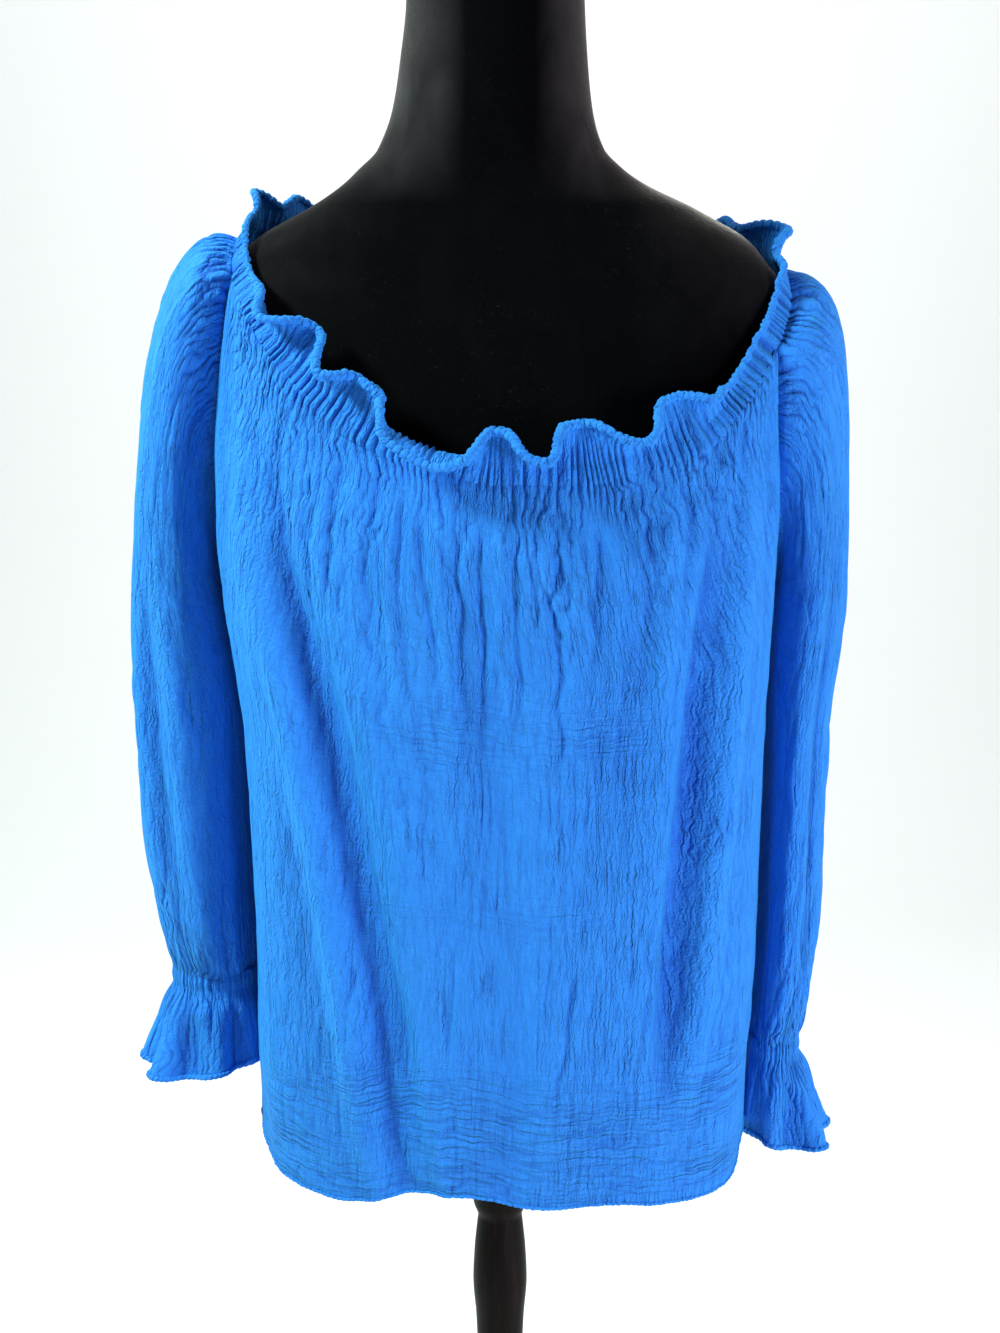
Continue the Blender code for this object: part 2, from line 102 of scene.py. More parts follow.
# Sizes of the cloth and the form, as in the solids
HEM_Z = 0.620
CASING_HEIGHT = 0.012
FRILL_FOOT_LEAN = 0.30
FRILL_STRIDES = 8
SHOULDER_TILT = 0.55
UNDERARM_HEIGHT = 0.430
BICEP_HEIGHT = 0.400
CUFF_BAND = 0.009
LEFT = -1
RIGHT = 1
FRONT = 1
BACK = -1

BODY = Table(
    "height half_width front back centre_x squareness",
    (-0.030, 0.1825, 0.131, 0.120, 0.0025, 2.15),
    (0.040, 0.1825, 0.131, 0.120, 0.0025, 2.20),
    (0.150, 0.1830, 0.131, 0.120, 0.0050, 2.35),
    (0.300, 0.1850, 0.132, 0.120, 0.0040, 2.40),
    (0.440, 0.1945, 0.136, 0.122, -0.0010, 2.35),
    (0.500, 0.1960, 0.123, 0.116, -0.0010, 2.35),
    (0.560, 0.1970, 0.113, 0.108, 0.0030, 2.30),
    (0.600, 0.1950, 0.108, 0.104, 0.0050, 2.25),
    (0.640, 0.1860, 0.103, 0.101, 0.0055, 2.20),
    (0.680, 0.1720, 0.098, 0.096, 0.0040, 2.20),
)

# The lower edge of the elastic casing, round the neckline
NECKLINE = Table(
    "angle height",
    (-180, 0.580),
    (-130, 0.610),
    (-106, 0.642),
    (-91, 0.645),
    (-80, 0.621),
    (-62, 0.566),
    (-44, 0.528),
    (-21, 0.504),
    (0, 0.493),
    (22, 0.494),
    (40, 0.503),
    (54, 0.515),
    (64, 0.538),
    (75, 0.578),
    (90, 0.618),
    (105, 0.624),
    (130, 0.604),
    (180, 0.580),
)

# How far the hem hangs off level, round the body
HEM = Table(
    "angle height",
    (-180, 0.000),
    (-90, 0.000),
    (-50, -0.013),
    (-17, 0.006),
    (8, -0.006),
    (30, -0.009),
    (58, -0.020),
    (90, -0.004),
    (180, 0.000),
)

# Deep folds of the body cloth: a negative depth is a valley
BODY_FOLDS = Table(
    "top_angle bottom_angle top bottom width depth",
    (-75, -64, 0.56, -0.10, 8, 0.0050),
    (-62, -22, 0.53, 0.02, 6.5, -0.0090),
    (-45, -8, 0.49, -0.10, 7, 0.0035),
    (-9, -5, 0.46, 0.20, 8, -0.0040),
    (14, 12, 0.47, -0.10, 10, 0.0030),
    (34, 30, 0.46, 0.22, 7, -0.0040),
    (58, 44, 0.50, 0.05, 5.5, -0.0085),
    (71, 60, 0.54, -0.10, 8, 0.0055),
    (112, 116, 0.56, -0.10, 8, -0.0070),
    (133, 138, 0.55, 0.10, 9, -0.0080),
    (160, 156, 0.54, -0.10, 10, 0.0050),
    (184, 180, 0.53, 0.05, 8, -0.0085),
    (208, 212, 0.55, -0.10, 9, 0.0050),
    (230, 226, 0.56, 0.00, 8, -0.0080),
    (250, 246, 0.56, -0.10, 8, 0.0045),
)

# The frill at its crests and troughs: degrees turned out from upright, and height.
# It is short where it is tucked in at the shoulders.
FRILL = Table(
    "angle lean height",
    (-180, 80, 0.026),
    (-160, 10, 0.026),
    (-143, 95, 0.027),
    (-128, 5, 0.024),
    (-118, 60, 0.022),
    (-111, 50, 0.028),
    (-105, 0, 0.017),
    (-99, 50, 0.025),
    (-94, 5, 0.010),
    (-88, 5, 0.006),
    (-78, 5, 0.006),
    (-73, 50, 0.013),
    (-67, 115, 0.026),
    (-60, 15, 0.027),
    (-52, 105, 0.027),
    (-46, 35, 0.024),
    (-39, 45, 0.024),
    (-32, 145, 0.026),
    (-20, 165, 0.027),
    (-11, 125, 0.027),
    (-4, 28, 0.026),
    (1, 28, 0.026),
    (8, 102, 0.027),
    (14, 118, 0.027),
    (19, 20, 0.027),
    (25, 5, 0.027),
    (29, 25, 0.027),
    (34, 92, 0.027),
    (40, 122, 0.027),
    (45, 50, 0.027),
    (49, 14, 0.027),
    (54, 12, 0.026),
    (60, 90, 0.020),
    (65, 20, 0.007),
    (82, 10, 0.006),
    (86, 50, 0.011),
    (89, 10, 0.010),
    (95, 75, 0.024),
    (104, -15, 0.024),
    (115, 75, 0.031),
    (124, 5, 0.024),
    (138, 95, 0.026),
    (157, 10, 0.026),
    (180, 80, 0.026),
)

# Level sections of each sleeve below the bicep: its reach out, y centre and half depth
SLEEVE = {
    LEFT: Table(
        "height outer centre_y half_depth",
        (0.112, 0.2465, 0.020, 0.029),
        (0.128, 0.2490, 0.020, 0.037),
        (0.165, 0.2550, 0.020, 0.045),
        (0.220, 0.2610, 0.019, 0.049),
        (0.340, 0.2640, 0.016, 0.050),
        (0.400, 0.2625, 0.014, 0.050),
    ),
    RIGHT: Table(
        "height outer centre_y half_depth",
        (0.054, 0.2280, 0.026, 0.029),
        (0.070, 0.2305, 0.027, 0.036),
        (0.110, 0.2350, 0.028, 0.044),
        (0.150, 0.2375, 0.029, 0.049),
        (0.300, 0.2400, 0.030, 0.053),
        (0.400, 0.2490, 0.027, 0.052),
    ),
}
SLEEVE_CLEARANCE = 0.0042

# The sleeve head: its spring from the neckline, the arm's run and inward lean above the bicep,
# the head's share of the grid, and the arm angle where the raglan seams start
HEAD_SPRING = {LEFT: 0.064, RIGHT: 0.052}
HEAD_RISE = {LEFT: 0.100, RIGHT: 0.130}
HEAD_LEAN = {LEFT: 0.06, RIGHT: 0.00}
HEAD_SHARE = 0.42
HEAD_CORNER = 45

# Lengthwise folds of the sleeves, by the angle round the arm: 0 outside, 90 in front
SLEEVE_FOLDS = {
    LEFT: Table(
        "top_angle bottom_angle top bottom width depth",
        (25, 38, 0.25, 0.95, 12, 0.0030),
        (52, 62, 0.30, 0.90, 13, -0.0060),
        (84, 92, 0.30, 1.10, 12, 0.0030),
        (150, 150, 0.50, 1.10, 14, -0.0030),
        (215, 222, 0.35, 1.10, 16, -0.0055),
        (262, 255, 0.30, 1.10, 15, 0.0040),
        (305, 300, 0.25, 0.95, 14, -0.0060),
    ),
    RIGHT: Table(
        "top_angle bottom_angle top bottom width depth",
        (22, 20, 0.25, 0.95, 12, 0.0025),
        (60, 66, 0.30, 0.95, 14, -0.0060),
        (100, 104, 0.40, 1.10, 13, 0.0025),
        (150, 150, 0.50, 1.10, 14, -0.0030),
        (225, 220, 0.35, 1.10, 15, -0.0050),
        (270, 265, 0.30, 1.10, 14, 0.0040),
        (318, 312, 0.25, 0.95, 14, -0.0055),
    ),
}

# Angles of the raglan seams where they meet the neckline
RAGLAN_TOP = {(LEFT, FRONT): -80, (RIGHT, FRONT): 74, (LEFT, BACK): -106, (RIGHT, BACK): 106}

# Flounces: distance below the band, growth of the section outwards, forwards and back
FLOUNCE_LENGTH = {LEFT: 0.062, RIGHT: 0.064}
FLOUNCE = Table(
    "fall outward sideways",
    (0.00, 0.000, 0.000),
    (0.25, 0.006, 0.006),
    (0.60, 0.010, 0.009),
    (1.00, 0.018, 0.014),
    (1.30, 0.026, 0.020),
)
FLOUNCE_WAVES = 7
FLOUNCE_WAVE_DEPTH = 0.0045

# The form: level sections above the hem
FORM = Table(
    "height half_width front back centre_x squareness",
    (0.0600, 0.158, 0.108, 0.106, 0.000, 2.4),
    (0.0680, 0.162, 0.112, 0.109, 0.000, 2.4),
    (0.1500, 0.152, 0.108, 0.106, 0.000, 2.3),
    (0.2700, 0.128, 0.092, 0.088, 0.000, 2.2),
    (0.4000, 0.152, 0.110, 0.096, 0.000, 2.2),
    (0.4600, 0.164, 0.115, 0.100, 0.000, 2.2),
    (0.5000, 0.172, 0.112, 0.101, 0.000, 2.2),
    (0.5500, 0.183, 0.098, 0.096, 0.000, 2.3),
    (0.5900, 0.193, 0.083, 0.086, 0.000, 2.3),
    (0.6130, 0.194, 0.073, 0.078, 0.000, 2.3),
    (0.6320, 0.182, 0.066, 0.070, 0.000, 2.3),
    (0.6480, 0.166, 0.061, 0.064, 0.001, 2.1),
    (0.6665, 0.133, 0.056, 0.059, 0.001, 2.0),
    (0.6835, 0.102, 0.054, 0.057, -0.004, 2.0),
    (0.6940, 0.0885, 0.054, 0.057, -0.006, 2.0),
    (0.7060, 0.0765, 0.055, 0.057, -0.006, 2.0),
    (0.7320, 0.0672, 0.056, 0.058, -0.005, 2.0),
    (0.7650, 0.0625, 0.056, 0.058, -0.004, 2.0),
    (0.8000, 0.0593, 0.055, 0.057, -0.003, 2.0),
    (0.8260, 0.0585, 0.0545, 0.0565, -0.003, 2.0),
    (0.8320, 0.0550, 0.0510, 0.0530, -0.003, 2.0),
)

# The stand: radii up the turned pole, and the round base
FORM_UNDERSIDE = HEM_Z + 0.0600
STAND_GAP = 0.0004
BASE_RADIUS = 0.160
BASE_THICKNESS = 0.026
BASE_EDGE = 0.007
POLE = (
    (0.0000, 0.0300),
    (0.0090, 0.0300),
    (0.0160, 0.0215),
    (0.0300, 0.0185),
    (0.0500, 0.0225),
    (0.0640, 0.0170),
    (0.1100, 0.0150),
    (0.2900, 0.0158),
    (0.3700, 0.0172),
    (0.4060, 0.0185),
    (0.4370, 0.0208),
    (0.4620, 0.0197),
    (0.4850, 0.0174),
    (0.4905, 0.0168),
    (0.4930, 0.0176),
    (0.5000, 0.0203),
    (0.5110, 0.0213),
    (0.5250, 0.0195),
    (0.5400, 0.0168),
    (0.6200, 0.0165),
    (0.6280, 0.0230),
)


def ease(t):
    """0 to 1 with level ends."""
    t = np.clip(t, 0, 1)
    return t * t * (3 - 2 * t)


def outline(angle, half_width, front, back, squareness):
    """Distance from the centre line to a superellipse at a plan angle in degrees."""
    sine = np.sin(np.radians(angle))
    cosine = np.cos(np.radians(angle))
    across = np.abs(sine) / half_width
    along = np.abs(cosine) / np.where(cosine > 0, front, back)
    return (across**squareness + along**squareness) ** (-1 / squareness)


def section_point(table, angle, height, lift=0.0):
    """A point of a table's level section at a plan angle and a height above the hem."""
    sizes = [table.at(name, height) for name in ("half_width", "front", "back", "squareness")]
    radius = lift + outline(angle, *sizes)
    x = table.at("centre_x", height) + radius * np.sin(np.radians(angle))
    return np.stack([x, -radius * np.cos(np.radians(angle)), HEM_Z + height + 0 * x], -1)


def folds(table, angle, place):
    """The depth of the folds at an angle in degrees and a place along them."""
    total = 0.0
    for top_angle, bottom_angle, top, bottom, width, depth in zip(*table.columns.values()):
        along = (place - top) / (bottom - top)
        middle = top_angle + (bottom_angle - top_angle) * np.clip(along, 0, 1)
        away = (angle - middle + 180) % 360 - 180
        grown = ease(along / 0.35) * ease((1.0 - along) / 0.25)
        total = total + depth * grown * np.exp(-((away / width) ** 2))
    return total


def creases(table, angle, place):
    """Narrow creases that start at once and die away along their length."""
    total = 0.0
    for top_angle, bottom_angle, top, bottom, width, depth in zip(*table.columns.values()):
        along = (place - top) / (bottom - top)
        middle = top_angle + (bottom_angle - top_angle) * np.clip(along, 0, 1)
        stray = 1.5 * drift(44, middle / 4 + 0 * angle, place / 0.022)
        away = (angle - middle + 180) % 360 - 180 + stray
        grown = ease(along / 0.08) * ease((1.0 - along) / 0.75)
        total = total + depth * grown * np.exp(-((away / width) ** 2))
    return total


def body_point(angle, height):
    return section_point(BODY, angle, height, folds(BODY_FOLDS, angle, height))


def seam_angle(side, face, height):
    """The plan angle of the side seam and, above the underarm, of the raglan seam."""
    top_angle = RAGLAN_TOP[side, face]
    rise = NECKLINE.at("height", top_angle) - UNDERARM_HEIGHT
    opened = np.sin(math.pi / 2 * np.clip((height - UNDERARM_HEIGHT) / rise, 0, 1))
    return side * 90 + (top_angle - side * 90) * opened


def neckline_frame(angle):
    """A neckline point, with the directions up the cloth and out of it."""
    here = body_point(angle, NECKLINE.at("height", angle))
    ahead = body_point(angle + 0.5, NECKLINE.at("height", angle + 0.5))
    along = ahead - here
    along = along / np.linalg.norm(along, axis=-1, keepdims=True)
    level = np.stack([np.sin(np.radians(angle)), -np.cos(np.radians(angle)), 0 * angle], -1)
    inward = SHOULDER_TILT * np.sin(np.radians(angle))[..., None] ** 2
    up = np.array([0.0, 0.0, 1.0]) - inward * level
    up = up - np.sum(up * along, axis=-1, keepdims=True) * along
    up = up / np.linalg.norm(up, axis=-1, keepdims=True)
    return here, up, np.cross(along, up)


def panel_surface(face):
    """The front or the back: u from seam to seam, v from the hem to the neckline."""
    first = (LEFT, FRONT) if face == FRONT else (RIGHT, BACK)
    last = (RIGHT, FRONT) if face == FRONT else (LEFT, BACK)
    turn = 0 if face == FRONT else 360

    def edge_angle(corner, v):
        top = NECKLINE.at("height", RAGLAN_TOP[corner])
        hem = HEM.at("height", corner[0] * 90)
        return seam_angle(*corner, hem + v * (top - hem))

    def surface(u, v):
        start = edge_angle(first, v)
        end = edge_angle(last, v) + turn
        angle = start + (end - start) * u
        top_angle = RAGLAN_TOP[first] + (RAGLAN_TOP[last] + turn - RAGLAN_TOP[first]) * u
        top = NECKLINE.at("height", (top_angle + 180) % 360 - 180)
        hem = HEM.at("height", (angle + 180) % 360 - 180)
        return body_point(angle, hem + v * (top - hem))

    return surface


def armhole_point(side, arm_angle):
    """The sleeve's upper edge: along the neckline, then down the raglan seams to the underarm."""
    turned = (arm_angle + 180) % 360 - 180
    result = np.zeros(np.shape(arm_angle) + (3,))
    for face in (FRONT, BACK):
        top_angle = RAGLAN_TOP[side, face]
        reach = np.abs(turned)
        over = side * 90 + (top_angle - side * 90) * np.clip(reach / HEAD_CORNER, 0, 1)
        height = NECKLINE.at("height", over)
        drop = np.where(reach > HEAD_CORNER, (reach - HEAD_CORNER) / (180 - HEAD_CORNER), 0)
        height = height + (UNDERARM_HEIGHT - height) * drop
        plan = np.where(reach > HEAD_CORNER, seam_angle(side, face, height), over)
        here = turned >= 0 if face == FRONT else turned < 0
        result = np.where(here[..., None], body_point(plan, height), result)
    return result


def sleeve_section(side, arm_angle, height):
    """A point round a level section of the arm."""
    table = SLEEVE[side]
    inner = BODY.at("half_width", height) + side * BODY.at("centre_x", height) + SLEEVE_CLEARANCE
    middle = (table.at("outer", height) + inner) / 2
    half_width = (table.at("outer", height) - inner) / 2
    cosine = np.cos(np.radians(arm_angle))
    sine = np.sin(np.radians(arm_angle))
    x = side * (middle + half_width * cosine)
    y = table.at("centre_y", height) - table.at("half_depth", height) * sine
    return np.stack([x, y, HEM_Z + height + 0 * x], -1)


def sleeve_outward(side, arm_angle):
    return np.stack(
        [side * np.cos(np.radians(arm_angle)), -np.sin(np.radians(arm_angle)), 0 * arm_angle], -1
    )


def sleeve_surface(side):
    """u round the arm from the outside through the front, v from the armhole to the cuff."""

    def surface(u, v):
        arm_angle = 360 * u
        cosine = np.cos(np.radians(arm_angle))
        sine = np.sin(np.radians(arm_angle))
        start = armhole_point(side, arm_angle)
        bicep = sleeve_section(side, arm_angle, BICEP_HEIGHT + 0 * arm_angle)
        climb = 0.14 * cosine**2 + 0.46 * cosine - 0.10
        leave = np.stack([side * (0.80 + 0.20 * cosine), -0.45 * sine, climb], -1)
        leave = leave / np.linalg.norm(leave, axis=-1, keepdims=True)
        reach = (0.010 + (HEAD_SPRING[side] - 0.010) * (1 + cosine) / 2)[..., None]
        height = 0.010 + (HEAD_RISE[side] - 0.010) * (1 + cosine) / 2
        rise = np.stack([-side * HEAD_LEAN[side] * height * (1 + cosine) / 2, 0 * u, height], -1)
        t = np.clip(v / HEAD_SHARE, 0, 1)[..., None]
        first = start + reach * leave
        second = bicep + rise
        rest = 1 - t
        cap = rest**3 * start + 3 * rest**2 * t * first + 3 * rest * t**2 * second + t**3 * bicep
        down = np.clip((v - HEAD_SHARE) / (1 - HEAD_SHARE), 0, 1)
        lower_end = SLEEVE[side].places[0]
        arm = sleeve_section(side, arm_angle, BICEP_HEIGHT + (lower_end - BICEP_HEIGHT) * down)
        point = np.where(v[..., None] < HEAD_SHARE, cap, arm)
        depth = folds(SLEEVE_FOLDS[side], arm_angle, v)
        return point + depth[..., None] * sleeve_outward(side, arm_angle)

    return surface


def band_surface(side):
    """The gathered elastic band at the wrist."""
    top = SLEEVE[side].places[0]

    def surface(u, v):
        arm_angle = 360 * u
        point = sleeve_section(side, arm_angle, top + 0 * v)
        point[..., 2] -= CUFF_BAND * v
        return point

    return surface


def flounce_surface(side):
    """The flared and waved flounce below the band."""
    top = SLEEVE[side].places[0]
    length = FLOUNCE_LENGTH[side]

    def surface(u, v):
        arm_angle = 360 * u
        cosine = np.cos(np.radians(arm_angle))
        point = sleeve_section(side, arm_angle, top + 0 * v)
        free = 0.10 + 0.90 * (1 + cosine) / 2
        wave = FLOUNCE_WAVE_DEPTH * v * free * np.cos(2 * math.pi * FLOUNCE_WAVES * u + 1.0)
        outward = FLOUNCE.at("outward", v) * np.clip(cosine, -0.05, 1)
        sideways = FLOUNCE.at("sideways", v) * np.abs(np.sin(np.radians(arm_angle)))
        grown = outward + sideways + wave
        point = point + grown[..., None] * sleeve_outward(side, arm_angle)
        point[..., 2] -= CUFF_BAND + (length + 0.006 * cosine) * v
        return point

    return surface


def casing_surface(u, v):
    """The elastic casing round the neckline."""
    here, up, _ = neckline_frame(360 * u - 180)
    return here + CASING_HEIGHT * v[..., None] * up


def frill_surface(u, v):
    """The free frill above the casing, curling over to its lean in short strides from its foot."""
    angle = 360 * u - 180
    here, up, out = neckline_frame(angle)
    lean = FRILL.at("lean", angle)
    point = here + CASING_HEIGHT * up
    for step in range(FRILL_STRIDES):
        curl = FRILL_FOOT_LEAN + (1 - FRILL_FOOT_LEAN) * (step + 0.5) / FRILL_STRIDES
        turn = np.radians(lean * curl)[..., None]
        share = np.clip(v * FRILL_STRIDES - step, 0, 1) / FRILL_STRIDES
        stride = (FRILL.at("height", angle) * share)[..., None]
        point = point + stride * (np.cos(turn) * up + np.sin(turn) * out)
    return point


# The gathers: puckers round the neckline and round each wrist
NECK_PUCKERS = 168
CUFF_PUCKERS = 45
NECK_ANGLES = np.linspace(-180, 180, 721)

# How far a piece runs under its neighbour, and how deep
TUCK = 0.003
SINK = 0.0012

# Steps of the smooth noise along the cloth before it repeats
DRIFT_STEPS = 97


def neckline_run():
    points = body_point(NECK_ANGLES, NECKLINE.at("height", NECK_ANGLES))
    steps = np.linalg.norm(np.diff(points, axis=0), axis=1)
    return np.concatenate([[0], np.cumsum(steps)])


NECK_RUN = neckline_run()


def neck_share(angle):
    """How far round the neckline a plan angle lies, from 0 at the back to 1."""
    return np.interp((angle + 180) % 360 - 180, NECK_ANGLES, NECK_RUN / NECK_RUN[-1])


def drift(seed, across, along, wrap=64):
    """Smooth noise from -1 to 1 that repeats after wrap steps across."""
    lattice = np.random.default_rng(seed).uniform(-1, 1, (wrap, DRIFT_STEPS))
    across, along = np.broadcast_arrays(across, along)
    column, row = np.floor(across).astype(int), np.floor(along).astype(int)
    s, t = ease(across - column), ease(along - row)
    here, ahead = row % DRIFT_STEPS, (row + 1) % DRIFT_STEPS
    near, far = (
        lattice[line % wrap, here] * (1 - t) + lattice[line % wrap, ahead] * t
        for line in (column, column + 1)
    )
    return near * (1 - s) + far * s


def crinkle(seed, across, along, wrap=64):
    """Rounded crests parted by sharp wandering grooves, about level on the whole."""
    bend = 0.7 * drift(seed + 50, across / 2, along * 1.7, wrap // 2)
    return np.abs(drift(seed, across + bend, along, wrap)) ** 0.7 - 0.45


def ribs(phase):
    """Rounded ribs from 0 to 1, parted by narrow grooves."""
    return np.abs(np.sin(np.pi * phase)) ** 0.6


def neck_gathers(share, drop):
    """Tight ribs at the casing that stray, and run together into fewer and longer folds.
    Returns their relief, the count of ribs so far and how hard they pull."""
    drop = np.maximum(drop, 0)
    place = NECK_PUCKERS * share
    stray = 1.3 * drift(1, place / 4, 0 * drop, 42) + 0.28 * drift(12, place, drop / 0.0045, 168)
    stray = stray + 0.6 * drift(2, place / 3, drop / 0.010, 56)
    stray = stray + 0.6 * drift(8, place / 6, drop / 0.05, 28)
    reach = 0.034 + 0.026 * drift(3, place / 2, 0 * drop, 84)
    own = 0.85 + 0.65 * drift(9, place, drop / 0.011, 168)
    pull = np.exp(-((drop / reach) ** 1.3)) * np.clip(own, 0.25, 1.5)
    reach = 0.090 + 0.080 * drift(4, place / 3, 0 * drop, 56)
    strength = np.clip(0.25 + 1.6 * drift(6, place / 2, drop / 0.09, 84), 0, 1.5)
    swerve = 0.5 * stray + 0.45 * drift(7, place / 3, drop / 0.015, 56)
    folded = ease(drop / 0.022) * np.exp(-((drop / reach) ** 2)) * strength
    long = (ribs(place / 2 + swerve) - 0.7) * folded
    relief = 0.0024 * (ribs(place + stray) - 0.55) * pull + 0.0030 * long
    return relief, place + stray, pull


def cuff_gathers(side, share, drop):
    """Ribs round the wrist, fading away from its band: relief, count and pull."""
    place = CUFF_PUCKERS * share
    seed = 20 + side
    stray = drift(seed, place / 3, 0 * drop, 15)
    stray = stray + 0.25 * drift(seed + 12, place, drop / 0.0045, 45)
    stray = stray + 0.5 * drift(seed + 3, place / 3, drop / 0.012, 15)
    reach = 0.048 + 0.026 * drift(seed + 6, place / 3, 0 * drop, 15)
    own = 0.85 + 0.6 * drift(seed + 15, place, drop / 0.012, 45)
    pull = np.exp(-drop / reach) * np.clip(own, 0.25, 1.5)
    swerve = 0.8 * drift(seed + 9, place / 5, drop / 0.05, 9)
    strength = np.clip(0.6 + 0.9 * drift(seed + 18, place / 5, drop / 0.12, 9), 0, 1.3)
    long = (ribs(place / 3 + swerve) - 0.7) * ease(drop / 0.02) * np.exp(-((drop / 0.15) ** 2))
    relief = 0.0014 * (ribs(place + stray) - 0.55) * pull + 0.0030 * strength * long
    return relief, place + stray, pull


def crowded(t, amount):
    """0 to 1 with its steps closer together near both ends."""
    return t - amount * np.sin(2 * math.pi * t) / (2 * math.pi)


def outward_of(points, closed, sign):
    """Unit normals of a grid of points."""
    if closed:
        ring = points[:, :-1]
        across = np.roll(ring, -1, 1) - np.roll(ring, 1, 1)
        across = np.concatenate([across, across[:, :1]], axis=1)
    else:
        across = np.gradient(points, axis=1)
    normal = sign * np.cross(across, np.gradient(points, axis=0))
    return normal / np.linalg.norm(normal, axis=-1, keepdims=True)


def softened(values, reach, closed):
    """A running mean along each row."""
    padded = np.pad(values, ((0, 0), (reach + 1, reach)), mode="wrap" if closed else "edge")
    total = np.cumsum(padded, axis=1)
    return (total[:, 2 * reach + 1 :] - total[:, : -2 * reach - 1]) / (2 * reach + 1)


def lay_cloth(name, points, cut, relief, closed, sign=1.0, wall=None, hollow=0.0, pucker=None):
    """A grid of cloth. points and cut hold rows of places and of metres across and along it.
    hollow is the depth of the folds already in points, read only to paint shade in their hollows.
    pucker is the count and pull of its ribs."""
    rows, columns = relief.shape[0] - 1, relief.shape[1] - 1
    lifted = points + relief[..., None] * outward_of(points, closed, sign)
    # Painted shade: 1 in the narrow creases of the relief and, more softly, in the broad hollows of
    # the folds, where the gauze's colour is darkened.
    painted_crease_shade = 0.8 * np.clip((softened(relief, 3, closed) - relief) / 0.0008, 0, 1)
    deep = relief + hollow
    broad = softened(deep, 26, closed) - softened(deep, 4, closed)
    painted_crease_shade = painted_crease_shade + 0.55 * np.clip(broad / 0.0040, 0, 1)
    mesh = bpy.data.meshes.new(name)
    sheet = bmesh.new()
    bmesh.ops.create_grid(sheet, x_segments=columns, y_segments=rows, size=0.5)
    sheet.to_mesh(mesh)
    sheet.free()
    flat = np.zeros(len(mesh.vertices) * 3, np.float32)
    mesh.vertices.foreach_get("co", flat)
    flat = flat.reshape(-1, 3)
    i = np.rint((flat[:, 0] + 0.5) * columns).astype(int)
    j = np.rint((flat[:, 1] + 0.5) * rows).astype(int)
    mesh.vertices.foreach_set("co", lifted[j, i].astype(np.float32).ravel())
    mesh.attributes.new("painted_crease_shade", "FLOAT", "POINT").data.foreach_set(
        "value", painted_crease_shade[j, i].astype(np.float32)
    )
    corners = np.zeros(len(mesh.loops), np.int32)
    mesh.loops.foreach_get("vertex_index", corners)
    pucker = 0 * cut if pucker is None else np.stack(np.broadcast_arrays(*pucker), -1)
    for label, values in (("cut", cut), ("pucker", pucker)):
        layer = mesh.uv_layers.new(name=label)
        layer.data.foreach_set("uv", values[j, i][corners].astype(np.float32).ravel())
    if closed:
        sheet = bmesh.new()
        sheet.from_mesh(mesh)
        bmesh.ops.remove_doubles(sheet, verts=sheet.verts, dist=1e-6)
        sheet.to_mesh(mesh)
        sheet.free()
    return add_piece(name, mesh, wall)


def lay_edge(name, rim, inside, radius, pitch, twist, fullness=None):
    """A rolled edge round a closed rim, ribbed by its overcast stitches.
    inside is the cloth just short of the rim."""
    count = len(rim)
    fullness = np.ones(count) if fullness is None else fullness
    along = np.roll(rim, -1, 0) - np.roll(rim, 1, 0)
    along /= np.linalg.norm(along, axis=1, keepdims=True)
    away = rim - inside
    away -= np.sum(away * along, axis=1, keepdims=True) * along
    away /= np.linalg.norm(away, axis=1, keepdims=True)
    side = np.cross(along, away)
    run = np.concatenate([[0], np.cumsum(np.linalg.norm(np.roll(rim, -1, 0) - rim, axis=1))])
    stitches = 5 * round(run[-1] / pitch / 5)  # whole steps of the noise below
    share = run / run[-1]
    columns = np.arange(count + 1) % count
    turn = np.linspace(0, 2 * math.pi, EDGE_SIDES + 1)[:, None]
    phase = stitches * share + twist * turn / (2 * math.pi)
    phase = phase + 0.35 * drift(41, stitches * share / 5, 0 * turn, stitches // 5)
    swell = radius * (0.72 + 0.40 * ribs(phase))
    swell = swell * (1 + 0.12 * drift(43, share * 60, 0 * turn, 60))
    swell = swell * fullness[columns]
    points = rim[columns] + swell[..., None] * (
        np.cos(turn)[..., None] * away[columns] + np.sin(turn)[..., None] * side[columns]
    )
    cut = np.stack(np.broadcast_arrays(run, turn * radius), -1)
    return lay_cloth(name, points, cut, 0 * swell, True)


def add_piece(name, mesh, wall=None):
    obj = bpy.data.objects.new(name, mesh)
    bpy.context.scene.collection.objects.link(obj)
    mesh.shade_smooth()
    if wall:
        shell = obj.modifiers.new("wall", "SOLIDIFY")
        shell.thickness = wall
        shell.offset = 0
    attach(obj, "root")
    return obj


# The steep edges of the body's largest pleats
PLEATS = Table(
    "top_angle bottom_angle top bottom width depth",
    (-71, -33, 0.58, -0.08, 3.6, 0.0080),
    (-63, -24, 0.56, -0.08, 3.4, -0.0075),
    (-41, -6, 0.30, -0.12, 3.4, 0.0035),
    (66, 51, 0.57, 0.02, 3.4, 0.0070),
    (58, 44, 0.56, 0.02, 3.2, -0.0065),
    (122, 128, 0.60, -0.08, 3.6, 0.0045),
    (131, 136, 0.60, -0.04, 3.4, -0.0045),
    (176, 171, 0.58, -0.08, 3.4, 0.0040),
    (222, 217, 0.60, 0.02, 3.4, 0.0050),
    (231, 226, 0.60, 0.02, 3.6, -0.0045),
)

